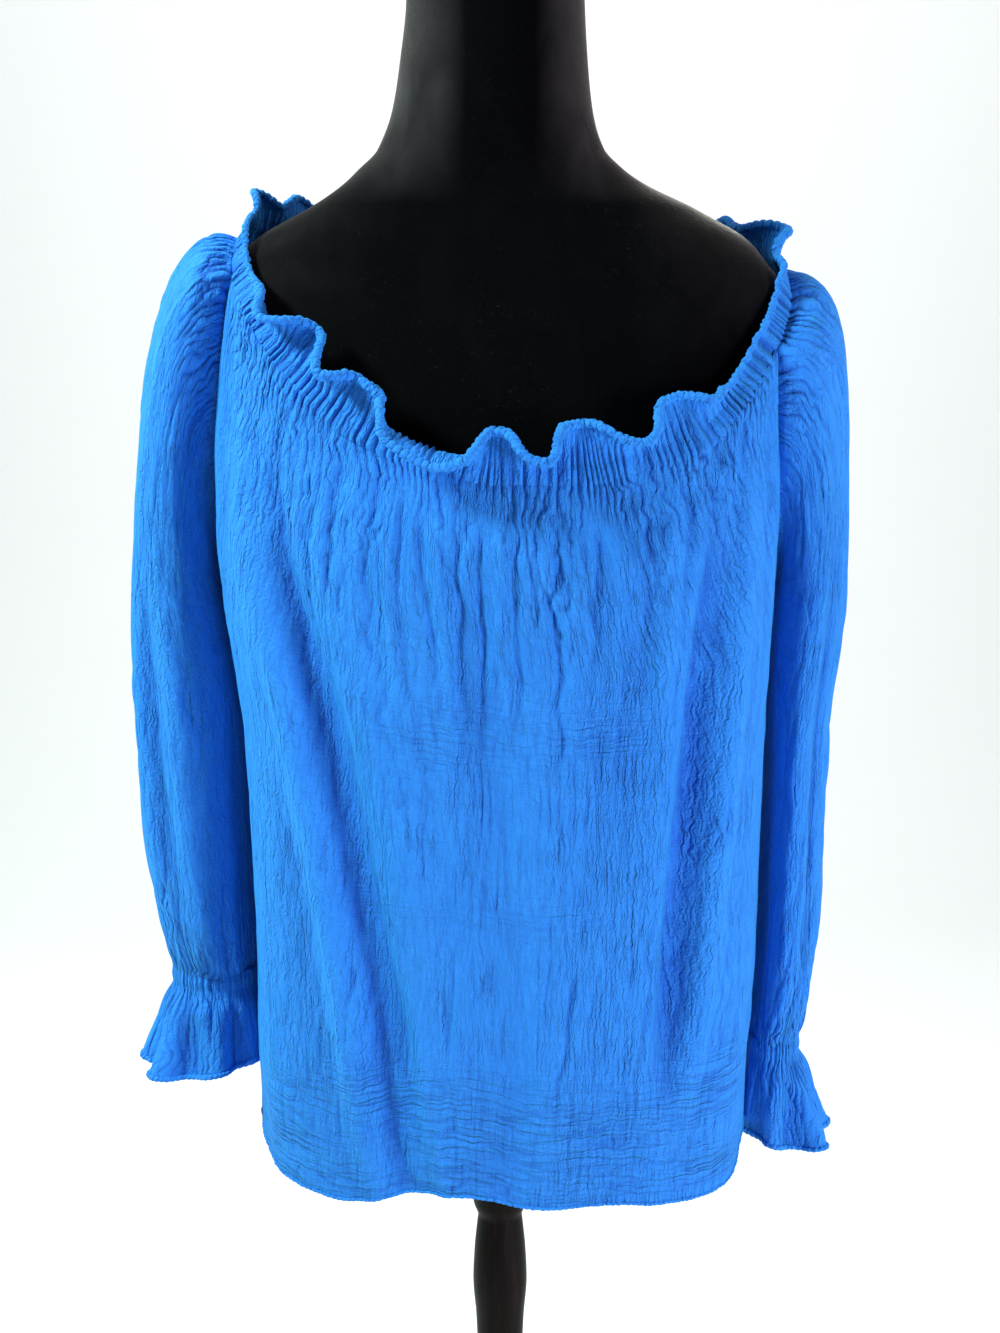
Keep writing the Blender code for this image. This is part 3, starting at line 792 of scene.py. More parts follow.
# Smaller creases of the body cloth, long and narrow: a negative depth is a groove
BODY_CREASES = Table(
    "top_angle bottom_angle top bottom width depth",
    (-75, -70, 0.56, 0.30, 2.2, -0.0022),
    (-68, -60, 0.55, 0.18, 1.8, 0.0018),
    (-58, -49, 0.54, 0.24, 1.5, -0.0024),
    (-46, -38, 0.50, 0.30, 1.6, 0.0016),
    (-43, -41, 0.51, 0.34, 1.2, -0.0020),
    (-34, -32, 0.50, 0.26, 1.5, -0.0022),
    (-29, -24, 0.49, 0.10, 1.8, 0.0018),
    (-26, -26, 0.49, 0.33, 1.1, -0.0018),
    (-20, -18, 0.48, 0.28, 1.3, -0.0020),
    (-15, -16, 0.48, 0.17, 2.0, 0.0022),
    (-10, -12, 0.47, 0.32, 1.2, -0.0024),
    (-4, -7, 0.47, 0.25, 1.3, -0.0026),
    (1, -2, 0.47, 0.34, 1.4, 0.0018),
    (5, 5, 0.47, 0.24, 1.2, -0.0020),
    (10, 9, 0.47, 0.36, 1.2, -0.0018),
    (15, 14, 0.47, 0.22, 1.3, -0.0024),
    (21, 18, 0.47, 0.12, 1.8, 0.0018),
    (20, 13, 0.17, 0.02, 1.0, -0.0022),
    (26, 23, 0.47, 0.30, 1.3, -0.0022),
    (31, 27, 0.47, 0.18, 1.7, 0.0018),
    (38, 36, 0.48, 0.33, 1.3, -0.0020),
    (43, 40, 0.49, 0.16, 2.0, 0.0024),
    (49, 44, 0.50, 0.30, 1.4, -0.0022),
    (58, 53, 0.52, 0.22, 1.8, 0.0022),
    (63, 58, 0.54, 0.31, 1.4, -0.0020),
    (72, 68, 0.56, 0.26, 1.8, -0.0022),
    (-44, -42, 0.17, 0.05, 1.0, -0.0018),
    (-18, -17, 0.16, 0.06, 1.0, -0.0014),
    (40, 38, 0.20, 0.04, 1.1, -0.0016),
    (104, 108, 0.58, 0.28, 1.8, -0.0022),
    (118, 121, 0.58, 0.20, 2.0, 0.0020),
    (126, 127, 0.57, 0.30, 1.5, -0.0024),
    (140, 145, 0.56, 0.14, 1.8, 0.0020),
    (148, 147, 0.55, 0.33, 1.4, -0.0020),
    (155, 158, 0.55, 0.26, 1.3, -0.0024),
    (166, 170, 0.54, 0.12, 1.9, 0.0022),
    (174, 172, 0.54, 0.34, 1.3, -0.0022),
    (181, 184, 0.54, 0.22, 1.5, -0.0022),
    (190, 188, 0.54, 0.30, 1.7, 0.0018),
    (197, 199, 0.54, 0.10, 1.5, -0.0024),
    (205, 203, 0.55, 0.32, 1.4, -0.0018),
    (214, 218, 0.56, 0.20, 1.9, 0.0022),
    (223, 221, 0.57, 0.34, 1.4, -0.0024),
    (236, 231, 0.58, 0.16, 1.7, -0.0020),
    (243, 240, 0.58, 0.28, 2.0, 0.0020),
    (255, 252, 0.58, 0.30, 1.8, -0.0022),
)

# How far across a panel is counted when its relief fades towards the side seams
SEAM_TO_SEAM = 0.60

# Cut sizes of the cloth, across and along, and columns and rows of its grids
PANEL_CUT = (0.62, 0.60)
SLEEVE_CUT = (0.29, 0.58)
FLOUNCE_CUT = (0.30, 0.077)
NECK_CUT = 1.38
WORDS = {LEFT: "left", RIGHT: "right"}
PANEL_GRID = {FRONT: (400, 118), BACK: (270, 100)}
SLEEVE_GRID = (220, 150)
FRILL_GRID = (1560, 30)
CUFF_GRID = (300, 42)
NECK_EDGE_GRID = (1890, 30)
CUFF_EDGE_GRID = (560, 70)
HEM_STEPS = 2000
EDGE_SIDES = 8
FORM_GRID = (96, 130)
POLE_TURNS = 48
BASE_TURNS = 128


def body_panel(name, face, look):
    """The front or the back: gathers at the casing, long creases, crinkle and cross wrinkles."""
    columns, rows = PANEL_GRID[face]
    u, t = np.meshgrid(np.linspace(0, 1, columns + 1), np.linspace(0, 1, rows + 1))
    v = crowded(t, 0.45) * (1 + TUCK / 0.5)
    points = panel_surface(face)(u, v)
    height = points[..., 2] - HEM_Z
    first = RAGLAN_TOP[LEFT, FRONT] if face == FRONT else RAGLAN_TOP[RIGHT, BACK]
    last = RAGLAN_TOP[RIGHT, FRONT] if face == FRONT else RAGLAN_TOP[LEFT, BACK] + 360
    top_angle = first + (last - first) * u
    centre = BODY.at("centre_x", height)
    angle = np.degrees(np.arctan2(points[..., 0] - centre, -points[..., 1]))
    drop = HEM_Z + NECKLINE.at("height", (top_angle + 180) % 360 - 180) - points[..., 2]
    across, along = PANEL_CUT[0] * u, PANEL_CUT[1] * v
    gathers, count, pull = neck_gathers(neck_share(top_angle), drop)
    relief = look.gather * gathers
    relief = relief + creases(BODY_CREASES, angle, height) + folds(PLEATS, angle, height)
    seed = 60 if face == FRONT else 70
    calm = 1 - 0.6 * np.exp(-drop / 0.03)
    relief = relief + look.crinkle * calm * crinkle(seed, across / 0.0080, along / 0.050)
    relief = relief + 0.6 * look.crinkle * calm * crinkle(seed + 1, across / 0.0046, along / 0.022)
    relief = relief + 0.0016 * drift(seed + 2, across / 0.045, along / 0.30)
    crosswise = hem_wrinkles(seed, u, height)
    wrinkle = crinkle(seed + 3, along / 0.011, across / 0.070)
    wrinkle = wrinkle + 0.5 * crinkle(seed + 4, along / 0.0062, across / 0.035)
    relief = relief + look.wrinkle * crosswise * wrinkle
    side = np.minimum(u, 1 - u) * SEAM_TO_SEAM
    relief = relief + 0.0035 * drift(seed + 5, across / 0.06, 0 * along) * (1 - ease(height / 0.10))
    relief = relief * ease(side / 0.005) * (0.45 + 0.55 * ease(side / 0.04))
    relief = relief - SINK * ease(-drop / TUCK)
    cut = np.stack([across, along], -1)
    hollow = folds(BODY_FOLDS, angle, height)
    pucker = (count, pull * ease(side / 0.01))
    obj = lay_cloth(name, points, cut, relief, False, wall=look.wall, hollow=hollow, pucker=pucker)
    mask = np.zeros(len(obj.data.vertices), np.float32)
    mask[: crosswise.size] = crosswise.ravel()
    obj.data.attributes.new("crosswise", "FLOAT", "POINT").data.foreach_set("value", mask)
    return obj


def hem_wrinkles(seed, u, height):
    """Where the cloth is creased crosswise: strongly above the hem, faintly across the middle."""
    hem = (1 - ease((height - 0.060) / 0.060)) * ease((height + 0.015) / 0.012)
    middle = 0.65 * np.exp(-(((height - 0.325) / 0.040) ** 2)) * ease(1.6 - np.abs(u - 0.52) / 0.16)
    waist = 0.45 * np.exp(-(((height - 0.205) / 0.018) ** 2)) * ease(1.6 - np.abs(u - 0.45) / 0.2)
    patches = 0.65 + 0.55 * drift(seed + 9, u * 7, height / 0.03)
    return np.clip((hem * ease(np.minimum(u, 1 - u) / 0.12) + middle + waist) * patches, 0, 1)


def arm_turn(columns):
    """Arm angles whose steps are closer together on the outside of the arm."""
    return crowded(np.linspace(0, 1, columns + 1), 0.42)


def arm_free(u):
    """1 round the outside of the arm, less where it faces the body, so that relief stays clear."""
    return 0.35 + 0.65 * ease((np.cos(2 * math.pi * u) + 0.75) / 0.6)


def sleeve(side, look):
    """A raglan sleeve: gathered at the neckline and the wrist, crinkled between."""
    columns, rows = SLEEVE_GRID
    u, t = np.meshgrid(arm_turn(columns), np.linspace(0, 1, rows + 1))
    v = crowded(t, 0.42)
    points = sleeve_surface(side)(u, v)
    steps = np.linalg.norm(np.diff(points, axis=0), axis=-1)
    run = np.concatenate([np.zeros((1, columns + 1)), np.cumsum(steps, axis=0)])
    left = run[-1:] - run
    arm_angle = 360 * u
    turned = (arm_angle + 180) % 360 - 180
    reach = np.clip(np.abs(turned) / HEAD_CORNER, 0, 1)
    top_angle = np.where(turned >= 0, RAGLAN_TOP[side, FRONT], RAGLAN_TOP[side, BACK])
    over = side * 90 + (top_angle - side * 90) * reach
    edge = np.linalg.norm(np.diff(points[:1], axis=1), axis=-1)
    edge = np.concatenate([[[0]], np.cumsum(edge, axis=1)], axis=1)
    edge = np.minimum(edge, edge[:, -1:] - edge)
    beyond = np.where(reach[:1] < 1, 0, edge - edge[reach[:1] < 1].max())
    share = neck_share(over) - np.sign(turned) * side * beyond / NECK_RUN[-1]
    head = np.where(reach < 1, 1, 0.25 + 0.55 * np.exp(-beyond / 0.12))
    onto_neck = 1 - ease((np.abs(turned) - HEAD_CORNER) / 6)
    free = arm_free(u)
    lower = ease((v - 0.25) / 0.35)
    across = SLEEVE_CUT[0] * u
    along = run * (1 - lower) + (SLEEVE_CUT[1] - left) * lower
    seed = 80 if side == LEFT else 90
    calm = 1 - 0.5 * head * np.exp(-run / 0.04)
    gathers, count, pull = neck_gathers(share, 0.75 * run)
    wrist, wrist_count, wrist_pull = cuff_gathers(side, u, left)
    relief = look.gather * head * gathers
    crinkled = 1.9 * crinkle(seed, across / 0.0105, along / 0.060, 40)
    crinkled = crinkled + 0.6 * crinkle(seed + 1, across / 0.0060, along / 0.030, 70)
    relief = relief + look.crinkle * calm * crinkled
    relief = relief + 0.0020 * drift(seed + 2, across / 0.042, along / 0.16, 10)
    relief = relief * ease(left / 0.02)
    relief = relief + look.gather * wrist
    relief = relief - SINK * ease(1 - left / (0.7 * TUCK)) / free
    upper = v < 0.5
    pull = free * np.where(upper, head * pull, 1.7 * wrist_pull)
    pucker = (np.where(upper, count, wrist_count), pull)
    relief = free * relief * (onto_neck + (1 - onto_neck) * ease(run / 0.006))
    cut = np.stack([across, along], -1)
    name = f"blouse_sleeve_{WORDS[side]}"
    hollow = folds(SLEEVE_FOLDS[side], arm_angle, v)
    return lay_cloth(name, points, cut, relief, True, side, look.wall, hollow, pucker)


def cuff_points(side, grid):
    """The band and the flounce below it in one sweep: u round the wrist, down in metres."""
    columns, rows = grid
    u, t = np.meshgrid(arm_turn(columns), np.linspace(0, 1, rows + 1))
    length = FLOUNCE_LENGTH[side]
    down = (TUCK + CUFF_BAND + length) * t - TUCK
    above = sleeve_section(side, 360 * u, SLEEVE[side].places[0] - np.minimum(down, 0))
    band = band_surface(side)(u, np.clip(down / CUFF_BAND, 0, 1))
    flounce = flounce_surface(side)(u, np.clip((down - CUFF_BAND) / length, 0, 1))
    upper = np.where((down < 0)[..., None], above, band)
    return u, down, np.where((down < CUFF_BAND)[..., None], upper, flounce)


def cuff_relief(side, u, down, look):
    """Ribs that fade down the flounce, its flutes, and a slight bulge of elastic."""
    fall = np.maximum(down - CUFF_BAND, 0)
    free = arm_free(u)
    gathers, count, pull = cuff_gathers(side, u, fall + np.maximum(-down, 0))
    flute = np.cos(2 * math.pi * FLOUNCE_WAVES * u + 1.0)
    flute = flute + 0.5 * drift(35 + side, 9 * u, fall / 0.05, 9)
    relief = look.gather * gathers + 0.0040 * flute * ease(fall / 0.05)
    crinkled = crinkle(36 + side, u * 44, down / 0.030, 44)
    relief = relief + 0.9 * look.crinkle * crinkled * ease(fall / 0.01)
    relief = relief * free + 0.0006 * np.sin(math.pi * np.clip(down / CUFF_BAND, 0, 1))
    relief = relief - SINK * (1 - ease((down + TUCK) / (0.4 * TUCK)))
    return relief, (count, pull * free)


def cuff(side, look):
    u, down, points = cuff_points(side, CUFF_GRID)
    relief, pucker = cuff_relief(side, u, down, look)
    cut = np.stack([FLOUNCE_CUT[0] * u, down], -1)
    name = f"blouse_cuff_{WORDS[side]}"
    return lay_cloth(name, points, cut, relief, True, side, look.wall, pucker=pucker)


def cuff_edge(side, look):
    u, down, points = cuff_points(side, CUFF_EDGE_GRID)
    relief, _ = cuff_relief(side, u, down, look)
    points = points + relief[..., None] * outward_of(points, True, side)
    name = f"blouse_cuff_edge_{WORDS[side]}"
    return lay_edge(name, points[-1, :-1], points[-4, :-1], 0.7 * look.edge, 0.0042, 1)


def neck_points(grid):
    """The casing and the frill above it in one sweep: u round the neckline, up in metres."""
    columns, rows = grid
    u, t = np.meshgrid(np.linspace(0, 1, columns + 1), np.linspace(0, 1, rows + 1))
    height = FRILL.at("height", 360 * u - 180)
    up = (TUCK + CASING_HEIGHT + height) * t - TUCK
    angle = 360 * u - 180
    below = body_point(angle, NECKLINE.at("height", angle) + np.minimum(up, 0))
    casing = casing_surface(u, np.clip(up / CASING_HEIGHT, 0, 1))
    frill = frill_surface(u, np.clip((up - CASING_HEIGHT) / height, 0, 1))
    lower = np.where((up < 0)[..., None], below, casing)
    return u, up, np.where((up < CASING_HEIGHT)[..., None], lower, frill)


def neck_relief(u, up, look):
    """Ribs that fade up the frill, a slight bulge of elastic, and a rippled rim."""
    share = neck_share(360 * u - 180)
    gathers, count, pull = neck_gathers(share, -up)
    rise = np.clip((up - CASING_HEIGHT) / 0.025, 0, 1)
    fade = 1 - 0.70 * ease(rise / 0.8)
    relief = look.gather * gathers * fade
    relief = relief + 0.0005 * np.sin(math.pi * np.clip(up / CASING_HEIGHT, 0, 1))
    relief = relief - SINK * (1 - ease((up + TUCK) / TUCK))
    wander = drift(38, share * 84, up / 0.012, 84)
    ripple = ribs(1.5 * NECK_PUCKERS * share + 0.6 * wander) - 0.6
    relief = relief + 0.0006 * ease(rise / 0.7) * ripple
    relief = relief + 0.5 * look.crinkle * crinkle(39, share * 252, up / 0.012, 252)
    return relief, (count + 0.25 * wander, pull * fade)


def neck_frill(look):
    u, up, points = neck_points(FRILL_GRID)
    relief, pucker = neck_relief(u, up, look)
    cut = np.stack([NECK_CUT * neck_share(360 * u - 180), up], -1)
    return lay_cloth("blouse_neck_frill", points, cut, relief, True, wall=look.wall, pucker=pucker)


def neck_edge(look):
    u, up, points = neck_points(NECK_EDGE_GRID)
    relief, _ = neck_relief(u, up, look)
    points = points + relief[..., None] * outward_of(points, True, 1)
    fullness = 0.55 + 0.45 * ease(FRILL.at("height", 360 * u[0, :-1] - 180) / 0.018)
    rim, inside = points[-1, :-1], points[-3, :-1]
    return lay_edge("blouse_neck_edge", rim, inside, look.edge, 0.0050, 1, fullness)


def hem_edge(front, back, look):
    """The overcast hem of the front and the back, in one round."""
    lower = []
    for face, mesh in ((FRONT, front.data), (BACK, back.data)):
        columns = PANEL_GRID[face][0] + 1
        flat = np.zeros(len(mesh.vertices) * 3, np.float32)
        mesh.vertices.foreach_get("co", flat)
        flat = flat.reshape(-1, 3)
        lower.append((flat[: columns - 1], flat[2 * columns : 3 * columns - 1]))
    rim = np.concatenate([pair[0] for pair in lower])
    inside = np.concatenate([pair[1] for pair in lower])
    share = np.linspace(0, len(rim), HEM_STEPS, endpoint=False)
    rounds = np.arange(len(rim) + 1)
    rim, inside = (
        np.stack([np.interp(share, rounds, np.append(a[:, k], a[0, k])) for k in range(3)], -1)
        for a in (rim, inside)
    )
    return lay_edge("blouse_hem_edge", rim, inside, 0.45 * look.edge, 0.0040, 0)


class Value:
    """A node's output socket. Arithmetic on it adds Math nodes to its material."""

    def __init__(self, finish, socket):
        self.finish = finish
        self.socket = socket

    def reckon(self, operation, *numbers):
        return self.finish.add(
            "ShaderNodeMath", {"operation": operation}, dict(enumerate(numbers))
        )

    def __add__(self, other):
        return self.reckon("ADD", self, other)

    def __sub__(self, other):
        return self.reckon("SUBTRACT", self, other)

    def __rsub__(self, other):
        return self.reckon("SUBTRACT", other, self)

    def __mul__(self, other):
        return self.reckon("MULTIPLY", self, other)

    def __pow__(self, other):
        return self.reckon("POWER", self, other)

    def __abs__(self):
        return self.reckon("ABSOLUTE", self)

    __radd__ = __add__
    __rmul__ = __mul__

    def sine(self):
        return self.reckon("SINE", self)

    def clamped(self):
        return self.finish.add(
            "ShaderNodeMath", {"operation": "ADD", "use_clamp": True}, {0: self, 1: 0.0}
        )


class Finish:
    """A material under construction."""

    def __init__(self, name, slot):
        self.material = bpy.data.materials.new(name)
        self.material.use_nodes = True
        self.material.node_tree.nodes.clear()
        self.slot = slot

    def add(self, kind, settings, sockets, output=None):
        """Adds a node: its settings first, then the values or links of its sockets."""
        node = self.material.node_tree.nodes.new(kind)
        for name, value in settings.items():
            setattr(node, name, value)
        for name, value in sockets.items():
            if isinstance(value, Value):
                self.material.node_tree.links.new(value.socket, node.inputs[name])
            else:
                node.inputs[name].default_value = value
        shown = [socket for socket in node.outputs if socket.enabled]
        return Value(self, node.outputs[output] if output else shown[0])

    def cut(self, across, along, **sway):
        """The cloth's own metres, over the size of one step of a pattern across and along it.
        sway, in X or Y, moves the pattern across or along the cloth, in metres."""
        layer = self.add("ShaderNodeUVMap", {"uv_map": "cut"}, {})
        if sway:
            shift = self.add("ShaderNodeCombineXYZ", {}, sway)
            layer = self.add("ShaderNodeVectorMath", {"operation": "ADD"}, {0: layer, 1: shift})
        steps = (1 / across, 1 / along, 1)
        return self.add("ShaderNodeMapping", {}, {"Vector": layer, "Scale": steps})

    def grooves(self, vector, narrowness):
        """1 along the wandering lines where a noise passes its middle, 0 away from them."""
        return (1.0 - abs(self.noise(vector, 1.0) - 0.5) * narrowness).clamped()

    def place(self, x, y, z):
        """Object coordinates, over the size of one step of a pattern."""
        here = self.add("ShaderNodeTexCoord", {}, {}, "Object")
        return self.add("ShaderNodeMapping", {}, {"Vector": here, "Scale": (1 / x, 1 / y, 1 / z)})

    def noise(self, vector, detail=2.0, distortion=0.0):
        return self.add(
            "ShaderNodeTexNoise",
            {"noise_dimensions": "3D"},
            {
                "Vector": vector,
                "Scale": 1.0,
                "Detail": detail,
                "Roughness": 0.5,
                "Distortion": distortion,
            },
            "Fac",
        )

    def attribute(self, name):
        return self.add("ShaderNodeAttribute", {"attribute_name": name}, {}, "Fac")

    def blend(self, factor, first, second):
        """Two colours mixed."""
        first, second = (
            value if isinstance(value, Value) else (*value, 1.0) for value in (first, second)
        )
        return self.add(
            "ShaderNodeMix",
            {"data_type": "RGBA", "clamp_factor": True},
            {0: factor, 6: first, 7: second},
        )

    def bump(self, height):
        """height is in metres."""
        sockets = {"Strength": 1.0, "Distance": 1.0, "Height": height}
        return self.add("ShaderNodeBump", {}, sockets)

    def surface(self, sockets):
        shader = self.add("ShaderNodeBsdfPrincipled", {}, sockets)
        out = self.material.node_tree.nodes.new("ShaderNodeOutputMaterial")
        self.material.node_tree.links.new(shader.socket, out.inputs["Surface"])
        return self

    def put_on(self, *pieces):
        for piece in pieces:
            piece.data.materials.clear()
            piece.data.materials.append(self.material)


def gauze(look):
    """Crinkled cotton gauze: azure, darkened as painted shade in its creases, crinkle lines, rib
    gaps and cross wrinkles, with crepe, wrinkles and weave in bump.
    """
    cloth = Finish("crinkled_gauze", "gauze")
    painted_crease_shade = cloth.attribute("painted_crease_shade")
    crosswise = cloth.attribute("crosswise")
    sway = (cloth.noise(cloth.cut(0.010, 0.0060), 1.0) - 0.5) * 0.0052
    patches = ((cloth.noise(cloth.cut(0.030, 0.050), 1.0) - 0.45) * 5.0).clamped()
    patches = patches * (1.0 - crosswise * 0.7)
    lines = cloth.grooves(cloth.cut(0.0110, 0.130, X=sway), 20.0) * patches
    ripples = cloth.grooves(cloth.cut(0.0046, 0.034, X=sway), 9.0) * (1.0 - crosswise * 0.5)
    rise = (cloth.noise(cloth.cut(0.014, 0.03), 1.0) - 0.5) * 0.0060
    wrinkle = cloth.grooves(cloth.cut(0.085, 0.0085, Y=rise), 16.0)
    wrinkle = wrinkle + cloth.grooves(cloth.cut(0.040, 0.0050, Y=rise), 12.0) * 0.5
    fine = cloth.noise(cloth.cut(0.0014, 0.0021), 3.0)
    warp = cloth.noise(cloth.cut(0.0007, 0.016), 1.0)
    weft = cloth.noise(cloth.cut(0.016, 0.0007), 1.0)
    pool = cloth.noise(cloth.cut(0.07, 0.10), 2.0)
    pucker = cloth.add("ShaderNodeUVMap", {"uv_map": "pucker"}, {})
    count = cloth.add("ShaderNodeSeparateXYZ", {}, {"Vector": pucker}, "X")
    pull = cloth.add("ShaderNodeSeparateXYZ", {}, {"Vector": pucker}, "Y")
    rib = abs((count * math.pi).sine()) ** 0.45
    height = fine * (1.1 * look.crepe) - lines * (0.9 * look.crepe) - ripples * (0.60 * look.crepe)
    height = height + rib * pull * 0.0018
    # Painted shade in the gaps between the gather ribs.
    rib_gap_shade = ((1.0 - rib) * pull * 1.6).clamped()
    height = height - wrinkle * crosswise * (1.1 * look.crepe) + (warp + weft) * 0.00006
    # Painted shade: the colour darkens in creases, along the bumped crinkle lines and ripples,
    # between the gather ribs and in the cross wrinkles.
    shade = painted_crease_shade * 0.75 + lines * 0.36 + ripples * 0.12 + rib_gap_shade * 0.85
    shade = (shade + wrinkle * crosswise * 0.55).clamped()
    deep = cloth.blend(shade, look.colour, look.crease_shade_colour)
    slub = (warp + weft) * 0.5
    lit = cloth.blend((slub - 0.42) * 1.6 + (pool - 0.5) * 0.6, deep, look.slub_colour)
    return cloth.surface(
        {
            "Base Color": lit,
            "Roughness": (0.80 + 0.12 * slub),
            "Specular IOR Level": 0.25,
            "Sheen Weight": 0.22,
            "Sheen Roughness": 0.35,
            "Sheen Tint": (0.05, 0.90, 0.80, 1.0),
            "Normal": cloth.bump(height),
        }
    )


def velvet(form):
    """Near-black velvet, lightened to brown-grey as painted sheen at the sides of the neck and on
    the shoulders, with brushed patches and a little lint.
    """
    pile = Finish("black_velvet", "velvet")
    nap = pile.noise(pile.place(0.0012, 0.0012, 0.0018), 3.0)
    brushed = pile.noise(pile.place(0.030, 0.030, 0.060), 3.0, 0.8)
    lint = (pile.noise(pile.place(0.0020, 0.0020, 0.0020), 1.0) - 0.72) * 7.0
    sparse = (pile.noise(pile.place(0.060, 0.060, 0.060), 1.0) - 0.30) * 2.0
    hair = (1.0 - abs(pile.noise(pile.place(0.010, 0.010, 0.005), 0.0, 1.5) - 0.5) * 90.0).clamped()
    specks = (lint.clamped() * sparse.clamped()).clamped()
    here = pile.place(1, 1, 1)
    x, z = (pile.add("ShaderNodeSeparateXYZ", {}, {"Vector": here}, axis) for axis in "XZ")
    # Painted sheen: the pile is lightened towards a brown-grey at the sides of the neck and on the
    # shoulders, where its sheen catches the light; the brushed patches vary it there and add a
    # faint random tone everywhere.
    neck = ((z - 1.29) * 14.0).clamped() * ((abs(x) - 0.022) * 24.0).clamped()
    shoulders = ((z - 1.19) * 8.0).clamped() * ((abs(x) - 0.08) * 8.0).clamped() * 0.4
    brushing_and_painted_sheen = (neck + shoulders).clamped() * (0.35 + 1.3 * (brushed - 0.2)) + (brushed - 0.5) * 0.05
    base = pile.blend(brushing_and_painted_sheen, form.velvet, form.brushing_and_sheen_colour)
    threads = (hair * sparse.clamped() * 0.25).clamped()
    return pile.surface(
        {
            "Base Color": pile.blend((specks * 0.25 + threads * 0.3).clamped(), base, form.lint),
            "Roughness": 0.85 + 0.10 * nap,
            "Specular IOR Level": 0.04,
            "Sheen Weight": 0.80,
            "Sheen Roughness": 0.24,
            "Sheen Tint": (0.80, 0.72, 0.66, 1.0),
            "Normal": pile.bump(nap * 0.0004 + brushed * 0.0006 + specks * 0.0004),
        }
    )


def espresso(stand, name, lengthwise):
    """Espresso-stained wood with streaked grain. lengthwise is the grain's run on x, y and z."""
    wood = Finish(name, "wood")
    streak = wood.noise(wood.place(*(0.0030 * run for run in lengthwise)), 4.0, 0.4)
    pore = wood.noise(wood.place(*(0.0009 * run for run in lengthwise)), 2.0)
    cloud = wood.noise(wood.place(*(0.030 * run for run in lengthwise)), 2.0)
    tone = ((streak - 0.45) * 2.2 + (cloud - 0.5) * 0.8).clamped()
    pores = ((pore - 0.62) * 6.0).clamped()
    shade = wood.blend(tone, stand.stain, stand.grain)
    return wood.surface(
        {
            "Base Color": wood.blend(pores * 0.6, shade, (0.003, 0.002, 0.002)),
            "Roughness": 0.38 + 0.14 * streak,
            "Specular IOR Level": 0.05,
            "Coat Weight": 0.02,
            "Coat Roughness": 0.25,
            "Normal": wood.bump(streak * 0.00012 - pores * 0.00010),
        }
    )


def plain_backdrop(studio):
    paper = Finish("pale_backdrop", None)
    mottle = paper.noise(paper.place(0.4, 0.4, 0.4), 2.0)
    return paper.surface(
        {
            "Base Color": paper.blend(mottle, studio.floor, tuple(0.985 * c for c in studio.floor)),
            "Roughness": 0.9 + 0.05 * mottle,
            "Specular IOR Level": 0.1,
        }
    )


def form_body():
    """The limbless form, from its underside to the top of its neck."""
    columns, rows = FORM_GRID
    mesh = bpy.data.meshes.new("form_torso")
    skin = bmesh.new()
    bmesh.ops.create_grid(skin, x_segments=columns, y_segments=rows, size=0.5)
    flat = np.array([vert.co for vert in skin.verts], float) + 0.5
    heights = np.interp(flat[:, 1] * (len(FORM.places) - 1), range(len(FORM.places)), FORM.places)
    for vert, place in zip(skin.verts, section_point(FORM, 360 * flat[:, 0] - 180, heights)):
        vert.co = place
    bmesh.ops.remove_doubles(skin, verts=skin.verts, dist=1e-6)
    rims = [edge for edge in skin.edges if edge.is_boundary]
    caps = bmesh.ops.holes_fill(skin, edges=rims, sides=0)
    for cap in caps["faces"]:
        bmesh.ops.inset_region(skin, faces=[cap], thickness=0.004, depth=0.0)
    bmesh.ops.recalc_face_normals(skin, faces=skin.faces)
    skin.to_mesh(mesh)
    skin.free()
    obj = add_piece("form_torso", mesh)
    mesh.set_sharp_from_angle(angle=math.radians(50))
    return obj


def turned(name, profile, sides):
    """A solid turned about Z from (height, radius) pairs, closed on the axis at both ends."""
    mesh = bpy.data.meshes.new(name)
    shape = bmesh.new()
    outer = [shape.verts.new((radius, 0, height)) for height, radius in profile]
    ends = [shape.verts.new((0, 0, profile[index][0])) for index in (0, -1)]
    chain = [ends[0], *outer, ends[1]]
    edges = [shape.edges.new(pair) for pair in zip(chain, chain[1:])]
    bmesh.ops.spin(
        shape,
        geom=chain + edges,
        cent=(0, 0, 0),
        axis=(0, 0, 1),
        angle=2 * math.pi,
        steps=sides,
        use_merge=True,
    )
    bmesh.ops.remove_doubles(shape, verts=shape.verts, dist=1e-6)
    bmesh.ops.recalc_face_normals(shape, faces=shape.faces)
    shape.to_mesh(mesh)
    shape.free()
    obj = add_piece(name, mesh)
    mesh.set_sharp_from_angle(angle=math.radians(40))
    return obj


def pole():
    foot = BASE_THICKNESS + STAND_GAP
    stretch = (FORM_UNDERSIDE - STAND_GAP - foot) / (POLE[-1][0] - POLE[0][0])
    shape = Table("height radius", *POLE)
    places = np.unique(np.concatenate([shape.places, np.linspace(0, POLE[-1][0], 150)]))
    radii = shape.at("radius", places)
    return turned("stand_turned_pole", list(zip(foot + places * stretch, radii)), POLE_TURNS)


def base():
    top, radius, edge = BASE_THICKNESS, BASE_RADIUS, BASE_EDGE
    turns = np.radians(np.linspace(0, 90, 9))
    lip = [(top - edge + edge * math.sin(a), radius - edge + edge * math.cos(a)) for a in turns]
    profile = [(0.0, radius - 0.002), (0.0006, radius - 0.0006), (0.002, radius), *lip]
    rings = [(top, r) for r in (radius - 2.2 * edge, 0.6 * radius, 0.3 * radius)]
    return turned("stand_round_base", profile + rings, BASE_TURNS)


